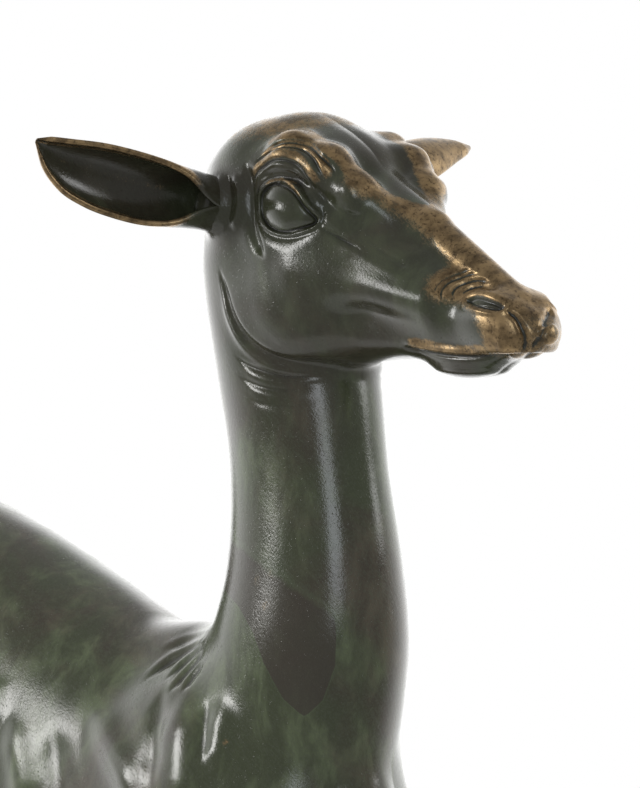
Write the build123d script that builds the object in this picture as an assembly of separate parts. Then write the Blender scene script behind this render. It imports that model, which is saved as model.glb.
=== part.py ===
"""Standing doe in hollow-cast bronze on a shallow cast plinth. Millimetres.

+X is the way the doe faces, +Y is its left side and +Z is up. The figure is cast in sections
(torso, neck, head, ears, legs, tail) that meet at sleeve or spigot joints held by cross pins.
Each organic section is a loft through oval stations, and inset copies of the same stations
give the cavities, sleeves and spigots, so that mating parts always follow one another.
"""
from build123d import *

import os
from math import atan2, cos, pi, sin, tan, radians

# ---------------------------------------------------------------- driving dimensions
FOOT_PAD = 2.0            # felt pad under the plinth
PLINTH_HEIGHT = 22.0      # bronze tray, rim to top
GROUND = FOOT_PAD + PLINTH_HEIGHT   # where the hooves stand
HALF_STANCE = 36.0        # centre of each hoof from the middle plane
TORSO_WALL = 4.5
NECK_WALL = 4.0
HEAD_WALL = 4.0
SOCKET_WALL = 4.0         # wall of the leg sockets under the torso
SLIP = 0.15               # gap between a spigot or sleeve and its socket
PIN_SLIP = 0.05
PIN_COVER = 1.0           # chased bronze left over the outer end of each pin
RING_POINTS = 12          # spline points round an oval station

# ---------------------------------------------------------------- stations
# Torso, along X: (x, height of centre, half height, half width)
TORSO = [
    (-271, 500, 8, 7), (-266, 500, 24, 18), (-250, 502, 43, 34), (-225, 508, 60, 46),
    (-185, 512, 68, 51), (-140, 505, 73, 53), (-90, 482, 84, 56), (-40, 455.5, 93.5, 59),
    (10, 436.5, 94.5, 58), (55, 429.5, 90.5, 53), (90, 435, 78, 46), (118, 441, 60, 37),
    (136, 449, 38, 27), (146, 455, 15, 11),
]
# Neck, along Z: (height, x of centre, half length, half width)
NECK = [
    (455, 89, 57, 44), (480, 96, 53, 40), (505, 104, 50.5, 38), (530, 111, 47.5, 35.5),
    (560, 114.5, 42, 31.5), (600, 111, 37.8, 28.5), (640, 104, 38, 30.3), (655, 101, 37, 32),
    (672, 97.5, 35.5, 33), (690, 95, 32, 32),
]
# Head, along X: (x, height of centre, half height, half width)
HEAD = [
    (66, 702, 12, 9), (72, 702, 27, 21), (86, 704, 37, 31), (100, 700, 43, 36.5), (118, 695.8, 50.2, 38),
    (136, 691, 47, 38), (153, 684, 39.5, 33.5), (172, 678, 31, 28), (192, 670.5, 25, 23),
    (212, 662.5, 22, 20), (230, 659, 16.5, 17.5), (243, 659.5, 12, 15), (252, 660, 8.5, 11),
    (259, 660, 4, 5.5),
]
# Limbs, along Z: (height, x, distance from the middle plane, half length, half width)
FORELEG = [
    (450, 104, 26, 36, 20), (410, 100, 33, 34, 21), (375, 92, 37, 28, 19.5), (345, 87, 38, 22, 16.5),
    (310, 87, 37, 17.5, 13.5), (275, 89, HALF_STANCE, 13.5, 11.2), (248, 91, HALF_STANCE, 11.6, 10.2),
    (224, 92, HALF_STANCE, 12.4, 11.4), (200, 92, HALF_STANCE, 10.6, 10), (172, 91, HALF_STANCE, 8.4, 8),
    (110, 91, HALF_STANCE, 8.1, 7.7), (82, 92, HALF_STANCE, 11, 10), (66, 96, HALF_STANCE, 9.6, 10),
    (50, 101, HALF_STANCE, 12.5, 12), (GROUND, 108, HALF_STANCE, 18.5, 14),
]
HIND_LEG = [
    (525, -178, 22, 60, 24), (475, -174, 38, 54, 24), (425, -176, 43, 43, 22.5), (380, -186, 43, 31, 18.5),
    (340, -200, 42, 22, 14.5), (300, -216, 41, 16.5, 11.5), (262, -228, 40, 16.5, 11.5),
    (238, -229, 40, 14, 11), (205, -223, 40, 10.4, 9.2), (130, -213, 40, 9.4, 8.4),
    (86, -208, 40, 12, 10.5), (68, -202, 40, 10.2, 10.5), (50, -196, 40, 13, 12.2),
    (GROUND, -189, 40, 19, 14.2),
]
# Tail, along Z: (height, x, half length, half width)
TAIL = [
    (554, -247, 10, 10), (538, -261, 9.5, 10.5), (518, -271, 8, 10.5), (498, -276, 6.5, 9.5),
    (480, -277, 4.2, 6),
]
# How far each foot is carried ahead of its pair's mean, right then left
FORE_STEP = {"right": 10.0, "left": -12.0}
HIND_STEP = {"right": -16.0, "left": 22.0}
SIDES = {"right": -1, "left": 1}

# ---------------------------------------------------------------- joints between castings
NECK_JOINT = Plane(origin=(107, 0, 514), z_dir=(sin(radians(24)), 0, cos(radians(24))))
THROAT_JOINT = Plane(origin=(106, 0, 629), z_dir=(0, 0, 1))
FORE_JOINT_Z = 333.0
HIND_JOINT_Z = 352.0
SPIGOT_LENGTH = 28.0
SLEEVE_REACH = 15.0       # sleeve length each side of its joint
SLEEVE_WALL = 3.5
SLEEVE_PIN_RADIUS = 2.0
SLEEVE_PINS = 6
LEG_PIN_RADIUS = 2.5

# Ears: base on the skull and tip of the right one, and the way each opening faces
EAR_BASE = (94, -35, 708)
EAR_TIP = (81, -115, 733)
RIGHT_EAR_FACES = Vector(0.96, -0.26, -0.11)
LEFT_EAR_FACES = Vector(-0.34, 0.22, -0.91)        # turned down
# (share of the length, sag below the straight axis, half breadth of the leaf, half depth of the cup)
EAR = [
    (0, 0, 9.5, 9.5), (0.14, -0.6, 10.4, 9.6), (0.34, 2.6, 13.2, 11), (0.5, 3.8, 13.8, 11),
    (0.66, 4.8, 13.3, 9.6), (0.82, 4.6, 10.4, 6.6), (0.93, 2.6, 6.4, 4), (1, 0, 2.4, 2.4),
]
EAR_WALL = 2.2
EAR_STALK = 0.13          # share of the length that is a whole tube
EAR_PEG_RADIUS = 4.0
EAR_PEG_LENGTH = 14.0
EAR_PIN_RADIUS = 1.2

TAIL_PEG_ROOT = (-262.0, 534.0)     # x and height where the peg leaves the tail
TAIL_PEG_RADIUS = 4.0
TAIL_PEG_LENGTH = 18.0
TAIL_PEG_DROP = 4.0       # how far the peg's inner end lies below its root

# Core door in the belly: an oval plate in a rebate, held by screws
DOOR_CENTRE = (-35, 0)
DOOR_HALF = (34, 20)
DOOR_LEDGE = 6.0
DOOR_THICKNESS = 2.2
DOOR_SCREW_RADIUS = 1.4
CORE_PLUG_RADIUS = 4.0
CORE_PLUGS = [(20, 455, 1), (-120, 500, 1), (20, 455, -1), (-120, 500, -1)]

# Plinth and what holds the hooves to it
PLINTH_X = (-272.0, 158.0)
PLINTH_HALF_WIDTH = 86.0
PLINTH_WALL = 6.5
PLINTH_CORNER = 10.0
PLINTH_EDGE = 3.0
STUD_RADIUS = 3.0
STUD_DEPTH = 20.0         # up into the hoof
STUD_END = 8.0            # height of the stud's lower end
BOSS_RADIUS = 13.0
BOSS_DEPTH = 3.0
WASHER = (9.0, 1.6)       # outer radius, thickness
NUT = (5.0, 5.0)          # half width across flats, thickness
PAD_RADIUS = 12.0
PAD_INSET = 14.0


# ---------------------------------------------------------------- building blocks
def ring(centre, across, up, half_across, half_up):
    """Closed smooth oval about centre, in the plane of the unit vectors across and up."""
    points = []
    for i in range(RING_POINTS):
        t = 2 * pi * i / RING_POINTS
        points.append(centre + across * (half_across * cos(t)) + up * (half_up * sin(t)))
    return Wire([Edge.make_spline(points, periodic=True)])


def along_x(stations, inset=0.0):
    """Loft through (x, height, half height, half width), shrunk by inset all round and at both ends."""
    rear, front = stations[0][0], stations[-1][0]
    rings = []
    for x, z, half_height, half_width in stations:
        if rear + inset <= x <= front - inset:
            centre = Vector(x, 0, z)
            across, up = half_width - inset, half_height - inset
            rings.append(ring(centre, Vector(0, 1, 0), Vector(0, 0, 1), across, up))
    return Solid.make_loft(rings)


def along_z(stations, inset=0.0, side=0):
    """Loft through (height, x, off, half length, half width); side -1, 0 or 1 places off in Y."""
    rings = []
    for z, x, off, length, width in stations:
        centre = Vector(x, side * off, z)
        rings.append(ring(centre, Vector(1, 0, 0), Vector(0, 1, 0), length - inset, width - inset))
    return Solid.make_loft(rings)


def stepped(stations, step, joint_z):
    """The limb's stations with the part below its joint swung by step at the ground."""
    moved = []
    for z, x, off, length, width in stations:
        share = max(0.0, (joint_z + SPIGOT_LENGTH - z) / (joint_z - GROUND))
        moved.append((z, x + step * share, off, length, width))
    return moved


def at_height(stations, z):
    """(x, half length, half width) of a form that runs along Z, at height z."""
    ordered = sorted(stations)
    for low, high in zip(ordered, ordered[1:]):
        if low[0] <= z <= high[0]:
            t = (z - low[0]) / (high[0] - low[0])
            return tuple(a + t * (b - a) for a, b in zip((low[1], *low[-2:]), (high[1], *high[-2:])))
    raise ValueError(f"no station spans {z}")


def rod(start, end, radius):
    """Cylinder from point to point."""
    start, end = Vector(*start), Vector(*end)
    from_start = (Align.CENTER, Align.CENTER, Align.MIN)
    cylinder = Cylinder(radius, (end - start).length, align=from_start)
    return Plane(origin=start, z_dir=end - start).location * cylinder


def slab(low_z, high_z):
    """Wide block between two heights."""
    return Pos(0, 0, (low_z + high_z) / 2) * Box(900, 500, high_z - low_z)


def fused(shapes):
    """All of the shapes as one."""
    whole = shapes[0]
    for shape in shapes[1:]:
        whole = whole + shape
    return whole


def cut_by(shape, tools):
    """shape with each tool taken out."""
    for tool in tools:
        shape = shape - tool
    return shape


# ---------------------------------------------------------------- limbs
def limb(kind, side):
    """Stations, joint height and the side's sign of one leg."""
    if kind == "fore":
        return stepped(FORELEG, FORE_STEP[side], FORE_JOINT_Z), FORE_JOINT_Z, SIDES[side]
    return stepped(HIND_LEG, HIND_STEP[side], HIND_JOINT_Z), HIND_JOINT_Z, SIDES[side]


def leg_pin(kind, side, slip=0.0):
    """Cross pin through the socket wall and the leg's spigot."""
    stations, joint_z, sign = limb(kind, side)
    z = joint_z + SPIGOT_LENGTH / 2
    x, _, half_width = at_height(stations, z)
    y = sign * next(s[2] for s in stations if s[0] <= z)
    reach = half_width - PIN_COVER
    return rod((x, y - reach, z), (x, y + reach, z), LEG_PIN_RADIUS + slip)


def hoof_centre(kind, side):
    """Where the leg stands: (x, y)."""
    stations, _, sign = limb(kind, side)
    _, x, off, _, _ = stations[-1]
    return x - 4.0, sign * off


def stud(kind, side, slip=0.0):
    """Stud from inside the hoof down through the plinth."""
    x, y = hoof_centre(kind, side)
    return rod((x, y, STUD_END), (x, y, GROUND + STUD_DEPTH), STUD_RADIUS + slip)


def leg(kind, side):
    """Solid-cast lower leg with the spigot that enters the torso's socket."""
    stations, joint_z, sign = limb(kind, side)
    lower = along_z(stations, 0, sign) & slab(GROUND - 1, joint_z)
    spigot = along_z(stations, SOCKET_WALL + SLIP, sign) & slab(joint_z - 1, joint_z + SPIGOT_LENGTH)
    return cut_by(lower + spigot, [leg_pin(kind, side, PIN_SLIP), stud(kind, side, PIN_SLIP)])


LEGS = [(kind, side) for kind in ("fore", "hind") for side in SIDES]


# ---------------------------------------------------------------- neck joints
NECK_STATIONS = [(z, x, 0, length, width) for z, x, length, width in NECK]


def sleeve_pins(joint, slip=0.0):
    """Radial pins on both sides of a sleeve joint."""
    pins = []
    slope = tan(atan2(joint.z_dir.X, joint.z_dir.Z))
    for i in range(SLEEVE_PINS):
        angle = 2 * pi * (i + 0.5) / SLEEVE_PINS
        for offset in (-SLEEVE_REACH / 2, SLEEVE_REACH / 2):
            x0, length, width = at_height(NECK_STATIONS, joint.origin.Z + offset)
            z = joint.origin.Z + offset - slope * (x0 + length * cos(angle) - joint.origin.X)
            x, length, width = at_height(NECK_STATIONS, z)
            outer = (x + (length - PIN_COVER) * cos(angle), (width - PIN_COVER) * sin(angle), z)
            depth = NECK_WALL + SLEEVE_WALL + 2
            inner = (x + (length - depth) * cos(angle), (width - depth) * sin(angle), z)
            pins.append(rod(inner, outer, SLEEVE_PIN_RADIUS + slip))
    return pins


def sleeve(joint):
    """Inner collar that lines up two castings of the neck and carries the pins."""
    tube = along_z(NECK_STATIONS, NECK_WALL + SLIP) - along_z(NECK_STATIONS, NECK_WALL + SLIP + SLEEVE_WALL)
    top = joint.offset(SLEEVE_REACH)
    bottom = joint.offset(-SLEEVE_REACH)
    tube = split(tube, bisect_by=top, keep=Keep.BOTTOM)
    tube = split(tube, bisect_by=bottom, keep=Keep.TOP)
    return cut_by(tube, sleeve_pins(joint, PIN_SLIP))


# ---------------------------------------------------------------- ears
def mirrored(point, sign):
    """A point given for the right side (negative Y), on the side of that sign."""
    return Vector(point[0], -sign * point[1], point[2])


def ear_plane(sign):
    """Frame of one ear: origin at its base, Z to the tip, Y the way its opening faces."""
    base, tip = (mirrored(p, sign) for p in (EAR_BASE, EAR_TIP))
    faces = LEFT_EAR_FACES if sign > 0 else RIGHT_EAR_FACES
    axis = (tip - base).normalized()
    across = faces.cross(axis).normalized()
    return Plane(origin=base, x_dir=across, z_dir=axis)


EAR_LENGTH = (Vector(*EAR_TIP) - Vector(*EAR_BASE)).length


def ear_spindle(sign, inset=0.0):
    """Whole spindle of one ear along local Z, before its front is opened. Local X is down on the right."""
    rings = []
    for share, sag, breadth, depth in EAR:
        if min(breadth, depth) - inset > 0.3:
            centre = Vector(-sign * sag, 0, share * EAR_LENGTH)
            rings.append(ring(centre, Vector(1, 0, 0), Vector(0, 1, 0), breadth - inset, depth - inset))
    return Solid.make_loft(rings)


def ear_peg(sign, slip=0.0):
    """Peg on the ear's axis that enters the skull."""
    plane = ear_plane(sign)
    inner = plane.origin - plane.z_dir * EAR_PEG_LENGTH
    return rod(inner, plane.origin + plane.z_dir * 6, EAR_PEG_RADIUS + slip)


def ear_pin(sign, slip=0.0):
    """Cross pin through the peg, inside the skull."""
    plane = ear_plane(sign)
    middle = plane.origin - plane.z_dir * (EAR_PEG_LENGTH - 3.5)
    reach = plane.x_dir * (EAR_PEG_RADIUS + 3)
    return rod(middle - reach, middle + reach, EAR_PIN_RADIUS + slip)


def ear(sign, skull):
    """Leaf-shaped cup with a tubular stalk and a peg."""
    front = Pos(0, 20, EAR_LENGTH * (0.5 + EAR_STALK)) * Box(80, 40, EAR_LENGTH)
    hollow = ear_spindle(sign, EAR_WALL) - Box(80, 80, 2 * EAR_STALK * EAR_LENGTH)
    leaf = ear_spindle(sign) - hollow
    leaf = leaf - front
    placed = ear_plane(sign).location * leaf
    return (placed - skull) + ear_peg(sign) - ear_pin(sign, PIN_SLIP)


# ---------------------------------------------------------------- tail
TAIL_STATIONS = [(z, x, 0, length, width) for z, x, length, width in TAIL]
TAIL_PEG = (
    (TAIL_PEG_ROOT[0], 0, TAIL_PEG_ROOT[1]),
    (TAIL_PEG_ROOT[0] + TAIL_PEG_LENGTH, 0, TAIL_PEG_ROOT[1] - TAIL_PEG_DROP),
)


def tail_peg(slip=0.0):
    """Peg that enters the rump."""
    return rod(*TAIL_PEG, TAIL_PEG_RADIUS + slip)


def tail_pin(slip=0.0):
    """Cross pin through the peg, inside the rump."""
    x, _, z = TAIL_PEG[1]
    return rod((x - 3.5, -8, z), (x - 3.5, 8, z), EAR_PIN_RADIUS + slip)


# ---------------------------------------------------------------- torso and what closes it
def oval_prism(grow=0.0):
    """Upright oval prism over the belly's core door."""
    shape = Ellipse(DOOR_HALF[0] + grow, DOOR_HALF[1] + grow)
    return Pos(DOOR_CENTRE[0], DOOR_CENTRE[1], 330) * extrude(shape, 90)


def door_screws(slip=0.0):
    """Screws up through the door's rim into the ledge."""
    screws = []
    for i in range(4):
        angle = pi / 4 + i * pi / 2
        x = DOOR_CENTRE[0] + (DOOR_HALF[0] - DOOR_LEDGE / 2) * cos(angle)
        y = (DOOR_HALF[1] - DOOR_LEDGE / 2) * sin(angle)
        screws.append(rod((x, y, 340), (x, y, 420), DOOR_SCREW_RADIUS + slip))
    return screws


def plug_rod(x, z, sign, slip=0.0):
    """Sideways rod through the torso wall at a core pin's place."""
    return rod((x, sign * 40, z), (x, sign * 90, z), CORE_PLUG_RADIUS + slip)


def plinth_box(inset=0.0, low=FOOT_PAD, high=GROUND):
    """Round-cornered block of the plinth's plan, shrunk by inset."""
    length = PLINTH_X[1] - PLINTH_X[0] - 2 * inset
    plan = RectangleRounded(length, 2 * (PLINTH_HALF_WIDTH - inset), PLINTH_CORNER)
    return Pos((PLINTH_X[0] + PLINTH_X[1]) / 2, 0, low) * extrude(plan, high - low)


def plinth():
    """Cast tray, open below, with a boss under each hoof."""
    block = plinth_box()
    top_edges = block.edges().filter_by(Plane.XY).group_by(Axis.Z)[-1]
    tray = fillet(top_edges, PLINTH_EDGE) - plinth_box(PLINTH_WALL, FOOT_PAD - 1, GROUND - PLINTH_WALL)
    for kind, side in LEGS:
        x, y = hoof_centre(kind, side)
        low = GROUND - PLINTH_WALL - BOSS_DEPTH
        tray = tray + rod((x, y, low), (x, y, GROUND - PLINTH_WALL + 1), BOSS_RADIUS)
    return cut_by(tray, [stud(kind, side, PIN_SLIP) for kind, side in LEGS])


def hoof_fastening(kind, side):
    """(washer, nut) under the plinth at one hoof."""
    x, y = hoof_centre(kind, side)
    seat = GROUND - PLINTH_WALL - BOSS_DEPTH
    washer = rod((x, y, seat - WASHER[1]), (x, y, seat), WASHER[0])
    hexagon = RegularPolygon(NUT[0], 6, major_radius=False)
    nut = Pos(x, y, seat - WASHER[1] - NUT[1]) * extrude(hexagon, NUT[1])
    hole = stud(kind, side, PIN_SLIP)
    return washer - hole, nut - hole


def felt_pads():
    """Disc under each corner of the plinth's rim."""
    pads = []
    for x in (PLINTH_X[0] + PAD_INSET, PLINTH_X[1] - PAD_INSET):
        for y in (-PLINTH_HALF_WIDTH + PAD_INSET, PLINTH_HALF_WIDTH - PAD_INSET):
            pads.append(rod((x, y, 0), (x, y, FOOT_PAD), PAD_RADIUS))
    return pads


def build():
    """Every node by name."""
    body = along_x(TORSO)
    body_cavity = along_x(TORSO, TORSO_WALL)
    neck = along_z(NECK_STATIONS)
    neck_cavity = along_z(NECK_STATIONS, NECK_WALL)
    head = along_x(HEAD)
    head_cavity = along_x(HEAD, HEAD_WALL)

    # torso
    collar = split(neck, bisect_by=NECK_JOINT, keep=Keep.BOTTOM)
    sockets = []
    bores = []
    for kind, side in LEGS:
        stations, joint_z, sign = limb(kind, side)
        above = slab(joint_z, 600)
        sockets.append(along_z(stations, 0, sign) & above)
        bores.append(along_z(stations, SOCKET_WALL, sign) & above)
    outer = fused([body, collar, *sockets])
    cavity = fused([body_cavity, split(neck_cavity, bisect_by=NECK_JOINT, keep=Keep.BOTTOM), *bores])
    torso = outer - cavity
    door_skin = (body - along_x(TORSO, DOOR_THICKNESS)) & oval_prism()
    rebate = (body - along_x(TORSO, DOOR_THICKNESS)) & oval_prism(SLIP)
    plugs = [torso & plug_rod(*place) for place in CORE_PLUGS]
    torso = cut_by(torso, [rebate, oval_prism(-DOOR_LEDGE)])
    torso = cut_by(torso, [plug_rod(*place, PIN_SLIP) for place in CORE_PLUGS])
    torso = cut_by(torso, sleeve_pins(NECK_JOINT, PIN_SLIP) + [leg_pin(*which, PIN_SLIP) for which in LEGS])
    torso = cut_by(torso, [tail_peg(PIN_SLIP), *door_screws()])
    door = cut_by(door_skin, door_screws(PIN_SLIP))
    screw_room = (body - body_cavity) & oval_prism()
    screws = [screw & screw_room for screw in door_screws()]

    # neck and head
    neck_shell = neck - neck_cavity
    neck_shell = split(neck_shell, bisect_by=NECK_JOINT, keep=Keep.TOP)
    neck_shell = split(neck_shell, bisect_by=THROAT_JOINT, keep=Keep.BOTTOM)
    pins = sleeve_pins(NECK_JOINT, PIN_SLIP) + sleeve_pins(THROAT_JOINT, PIN_SLIP)
    neck_shell = cut_by(neck_shell, pins)
    throat = split(neck, bisect_by=THROAT_JOINT, keep=Keep.TOP)
    throat_cavity = split(neck_cavity, bisect_by=THROAT_JOINT, keep=Keep.TOP)
    skull = head + throat
    head_shell = skull - (head_cavity + throat_cavity)
    head_shell = cut_by(head_shell, sleeve_pins(THROAT_JOINT, PIN_SLIP))
    head_shell = cut_by(head_shell, [ear_peg(sign, PIN_SLIP) for sign in SIDES.values()])

    nodes = {
        "torso_shell": torso,
        "neck_shell": neck_shell,
        "head_shell": head_shell,
        "neck_base_sleeve": sleeve(NECK_JOINT),
        "throat_sleeve": sleeve(THROAT_JOINT),
        "neck_base_pins": sleeve_pins(NECK_JOINT),
        "throat_pins": sleeve_pins(THROAT_JOINT),
        "belly_core_door": door,
        "core_door_screws": screws,
        "core_plugs": plugs,
        "tail": (along_z(TAIL_STATIONS) - body) + tail_peg() - tail_pin(PIN_SLIP),
        "tail_pin": tail_pin(),
        "plinth": plinth(),
        "felt_pads": felt_pads(),
        "hoof_studs": [stud(*which) for which in LEGS],
        "hoof_washers": [hoof_fastening(*which)[0] for which in LEGS],
        "hoof_nuts": [hoof_fastening(*which)[1] for which in LEGS],
    }
    for side, sign in SIDES.items():
        nodes[f"{side}_ear"] = ear(sign, skull)
        nodes[f"{side}_ear_pin"] = ear_pin(sign)
        nodes[f"{side}_foreleg"] = leg("fore", side)
        nodes[f"{side}_foreleg_pin"] = leg_pin("fore", side)
        nodes[f"{side}_hind_leg"] = leg("hind", side)
        nodes[f"{side}_hind_leg_pin"] = leg_pin("hind", side)
    return nodes


def solids_of(shape):
    """Flat list of the solids in a shape or a list of shapes."""
    shapes = shape if isinstance(shape, list) else [shape]
    return [solid for each in shapes for solid in each.solids()]


def middle_of(shapes):
    """(x, y) of the middle of the shapes' common box."""
    boxes = [shape.bounding_box() for shape in shapes]
    x = (min(box.min.X for box in boxes) + max(box.max.X for box in boxes)) / 2
    y = (min(box.min.Y for box in boxes) + max(box.max.Y for box in boxes)) / 2
    return x, y


if __name__ == "__main__":
    os.makedirs("parts", exist_ok=True)
    parts = {name: solids_of(shape) for name, shape in build().items()}
    middle_x, middle_y = middle_of([solid for solids in parts.values() for solid in solids])
    print("row origin is at", round(middle_x, 3), round(middle_y, 3))
    for name, solids in parts.items():
        placed = [Pos(-middle_x, -middle_y, 0) * solid for solid in solids]
        export_step(placed[0] if len(placed) == 1 else Compound(placed), f"parts/{name}.step")
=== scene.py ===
"""A patinated bronze doe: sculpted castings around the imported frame, their patina, and a plain studio.

The figure is one smooth field, built from ovals and rounded forms in the figure's own millimetres.
Each casting is meshed from that field, given its chased detail, and cut at its joint planes.
"""
import math

import bmesh
import bpy
import numpy as np
import openvdb
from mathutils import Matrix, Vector


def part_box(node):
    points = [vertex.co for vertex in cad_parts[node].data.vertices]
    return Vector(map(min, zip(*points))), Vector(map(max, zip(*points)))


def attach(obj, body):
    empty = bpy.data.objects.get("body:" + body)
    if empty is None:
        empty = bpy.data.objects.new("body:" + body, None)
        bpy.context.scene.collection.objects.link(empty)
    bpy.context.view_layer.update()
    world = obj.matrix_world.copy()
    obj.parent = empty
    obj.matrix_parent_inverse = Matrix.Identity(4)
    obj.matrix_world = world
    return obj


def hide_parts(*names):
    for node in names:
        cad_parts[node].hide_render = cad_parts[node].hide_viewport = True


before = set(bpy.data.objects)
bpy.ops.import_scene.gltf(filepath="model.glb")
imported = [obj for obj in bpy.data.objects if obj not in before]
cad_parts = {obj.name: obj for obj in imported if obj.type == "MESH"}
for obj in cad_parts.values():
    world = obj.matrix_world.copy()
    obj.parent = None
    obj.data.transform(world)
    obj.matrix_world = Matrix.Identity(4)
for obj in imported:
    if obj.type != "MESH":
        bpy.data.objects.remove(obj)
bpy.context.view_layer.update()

MM = 0.001
PLINTH_MIDDLE = -57.0     # x of the plinth's middle in the figure's own frame
BODY = "root"

plinth_low, plinth_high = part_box("plinth")
SHIFT = (plinth_low.x + plinth_high.x) / 2 / MM - PLINTH_MIDDLE
GROUND = plinth_high.z / MM


# ---------------------------------------------------------------- forms
def smooth_min(a, b, k):
    """Union of two fields with a fillet of about k."""
    h = np.clip(0.5 + 0.5 * (b - a) / k, 0, 1)
    return b + (a - b) * h - k * h * (1 - h)


def smooth_step(low, high, value):
    """0 below low, 1 above high, easing between."""
    t = np.clip((value - low) / (high - low), 0, 1)
    return t * t * (3 - 2 * t)


def eased(stations, steps=10):
    """Stations resampled along a smooth curve through them."""
    rows = np.array(sorted(stations), float)
    slopes = np.gradient(rows[:, 1:], rows[:, 0], axis=0)
    fine = []
    for i in range(len(rows) - 1):
        gap = rows[i + 1, 0] - rows[i, 0]
        for t in np.arange(steps) / steps:
            start = (1 + 2 * t) * (1 - t) ** 2 * rows[i, 1:] + t * (1 - t) ** 2 * gap * slopes[i]
            end = t * t * (3 - 2 * t) * rows[i + 1, 1:] + t * t * (t - 1) * gap * slopes[i + 1]
            fine.append([rows[i, 0] + t * gap, *(start + end)])
    fine.append(list(rows[-1]))
    return np.array(fine)


END_DOME = 0.6     # how far a loft's end bulges, as a share of its last half width


def oval_loft(along, first, second, table):
    """Distance to a loft of ovals with domed ends: rows are (along, centre 1, centre 2, half 1, half 2)."""
    held = np.clip(along, table[0, 0], table[-1, 0])
    centre_1, centre_2, half_1, half_2 = (np.interp(held, table[:, 0], table[:, i]) for i in range(1, 5))
    narrow = np.minimum(half_1, half_2)
    dome = END_DOME * narrow
    a, b, past = first - centre_1, second - centre_2, along - held
    k0 = np.sqrt((a / half_1) ** 2 + (b / half_2) ** 2 + (past / dome) ** 2) + 1e-6
    k1 = np.sqrt((a / half_1 ** 2) ** 2 + (b / half_2 ** 2) ** 2 + (past / dome ** 2) ** 2) + 1e-9
    return np.maximum(k0 * (k0 - 1) / k1, -narrow)


def ellipsoid(p, centre, radii, pitch=0.0):
    """Distance to an ellipsoid whose long axis is tipped by pitch degrees, nose down."""
    q = p - np.array(centre, float)
    turn = math.radians(pitch)
    x = q[:, 0] * math.cos(turn) - q[:, 2] * math.sin(turn)
    z = q[:, 0] * math.sin(turn) + q[:, 2] * math.cos(turn)
    q = np.stack([x, q[:, 1], z], 1)
    radii = np.array(radii, float)
    k0 = np.linalg.norm(q / radii, axis=1) + 1e-6
    k1 = np.linalg.norm(q / radii ** 2, axis=1) + 1e-9
    return k0 * (k0 - 1) / k1


def cone(p, start, end, radius_start, radius_end):
    """Distance to a rounded cone between two points."""
    start, end = np.array(start, float), np.array(end, float)
    span = end - start
    t = np.clip((p - start) @ span / (span @ span), 0, 1)
    gap = np.linalg.norm(p - start - t[:, None] * span, axis=1)
    return gap - (radius_start + t * (radius_end - radius_start))


# ---------------------------------------------------------------- the figure's stations, in mm
# Trunk, along x: (x, height of centre, half height, half width)
TRUNK = [
    (-271, 500, 8, 7), (-266, 500, 24, 18), (-250, 502, 43, 34), (-225, 508, 60, 46),
    (-185, 512, 68, 51), (-140, 505, 73, 53), (-90, 482, 84, 56), (-40, 455.5, 93.5, 59),
    (10, 436.5, 94.5, 58), (55, 429.5, 90.5, 53), (90, 435, 78, 46), (118, 441, 60, 37),
    (136, 449, 38, 27), (146, 455, 15, 11),
]
# Neck, along z: (height, x of centre, half length, half width)
NECK = [
    (430, 84, 60, 48), (455, 89, 57, 44), (480, 96, 53, 40), (505, 104, 50.5, 38), (530, 111, 47.5, 35.5),
    (560, 114.5, 42, 31.5), (600, 111, 37.8, 28.5), (640, 104, 38, 30.3), (655, 101, 37, 32),
    (672, 97.5, 35.5, 33), (690, 95, 33, 33), (706, 95, 26, 27),
]
# Upper part of the head, along x: (x, height of centre, half height, half width)
SKULL = [
    (66, 702, 10, 8), (73, 705, 27, 22), (86, 707.5, 34.5, 31), (100, 708.5, 36.6, 35),
    (118, 707.5, 37.6, 36), (136, 702, 33, 35), (153, 696, 27, 31), (172, 687, 21, 25),
    (192, 677, 17.5, 19.5), (212, 669, 14.5, 15.5), (228, 664, 11.5, 14), (240, 661, 9.5, 12),
    (248, 659.5, 7.5, 9), (253, 658.5, 4, 5),
]
# Lower jaw, along x
JAW = [
    (90, 676, 14, 18), (100, 671, 23, 27), (118, 667, 24, 30), (140, 662, 19, 26), (162, 658, 12.5, 19),
    (184, 655, 8.5, 14), (198, 652, 8, 12), (210, 649.5, 7.5, 11), (222, 649, 6, 9.5), (232, 650, 4.2, 7),
    (238, 651, 2.2, 4),
]
HALF_STANCE = 36.0
# Legs, along z: (height, x of centre, distance from the middle, half length, half width)
FORELEG = [
    (450, 104, 26, 36, 20), (410, 100, 33, 34, 21), (375, 92, 37, 28, 19.5), (345, 87, 38, 22, 16.5),
    (310, 87, 37, 17.5, 13.5), (275, 89, HALF_STANCE, 13.5, 11.2), (248, 91, HALF_STANCE, 11.6, 10.2),
    (224, 92, HALF_STANCE, 12.4, 11.4), (200, 92, HALF_STANCE, 10.6, 10), (172, 91, HALF_STANCE, 8.4, 8),
    (110, 91, HALF_STANCE, 8.1, 7.7), (82, 92, HALF_STANCE, 11, 10), (66, 96, HALF_STANCE, 9.6, 10),
    (50, 101, HALF_STANCE, 12.5, 12), (GROUND, 108, HALF_STANCE, 18.5, 14),
]
HIND_LEG = [
    (525, -178, 22, 60, 24), (475, -174, 38, 54, 24), (425, -176, 43, 43, 22.5), (380, -186, 43, 31, 18.5),
    (340, -200, 42, 22, 14.5), (300, -216, 41, 16.5, 11.5), (262, -228, 40, 16.5, 11.5),
    (238, -229, 40, 14, 11), (205, -223, 40, 10.4, 9.2), (130, -213, 40, 9.4, 8.4),
    (86, -208, 40, 12, 10.5), (68, -202, 40, 10.2, 10.5), (50, -196, 40, 13, 12.2),
    (GROUND, -189, 40, 19, 14.2),
]
FORE_STEP = {"right": 10.0, "left": -12.0}
HIND_STEP = {"right": -16.0, "left": 22.0}
SIDES = {"right": -1, "left": 1}
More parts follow.
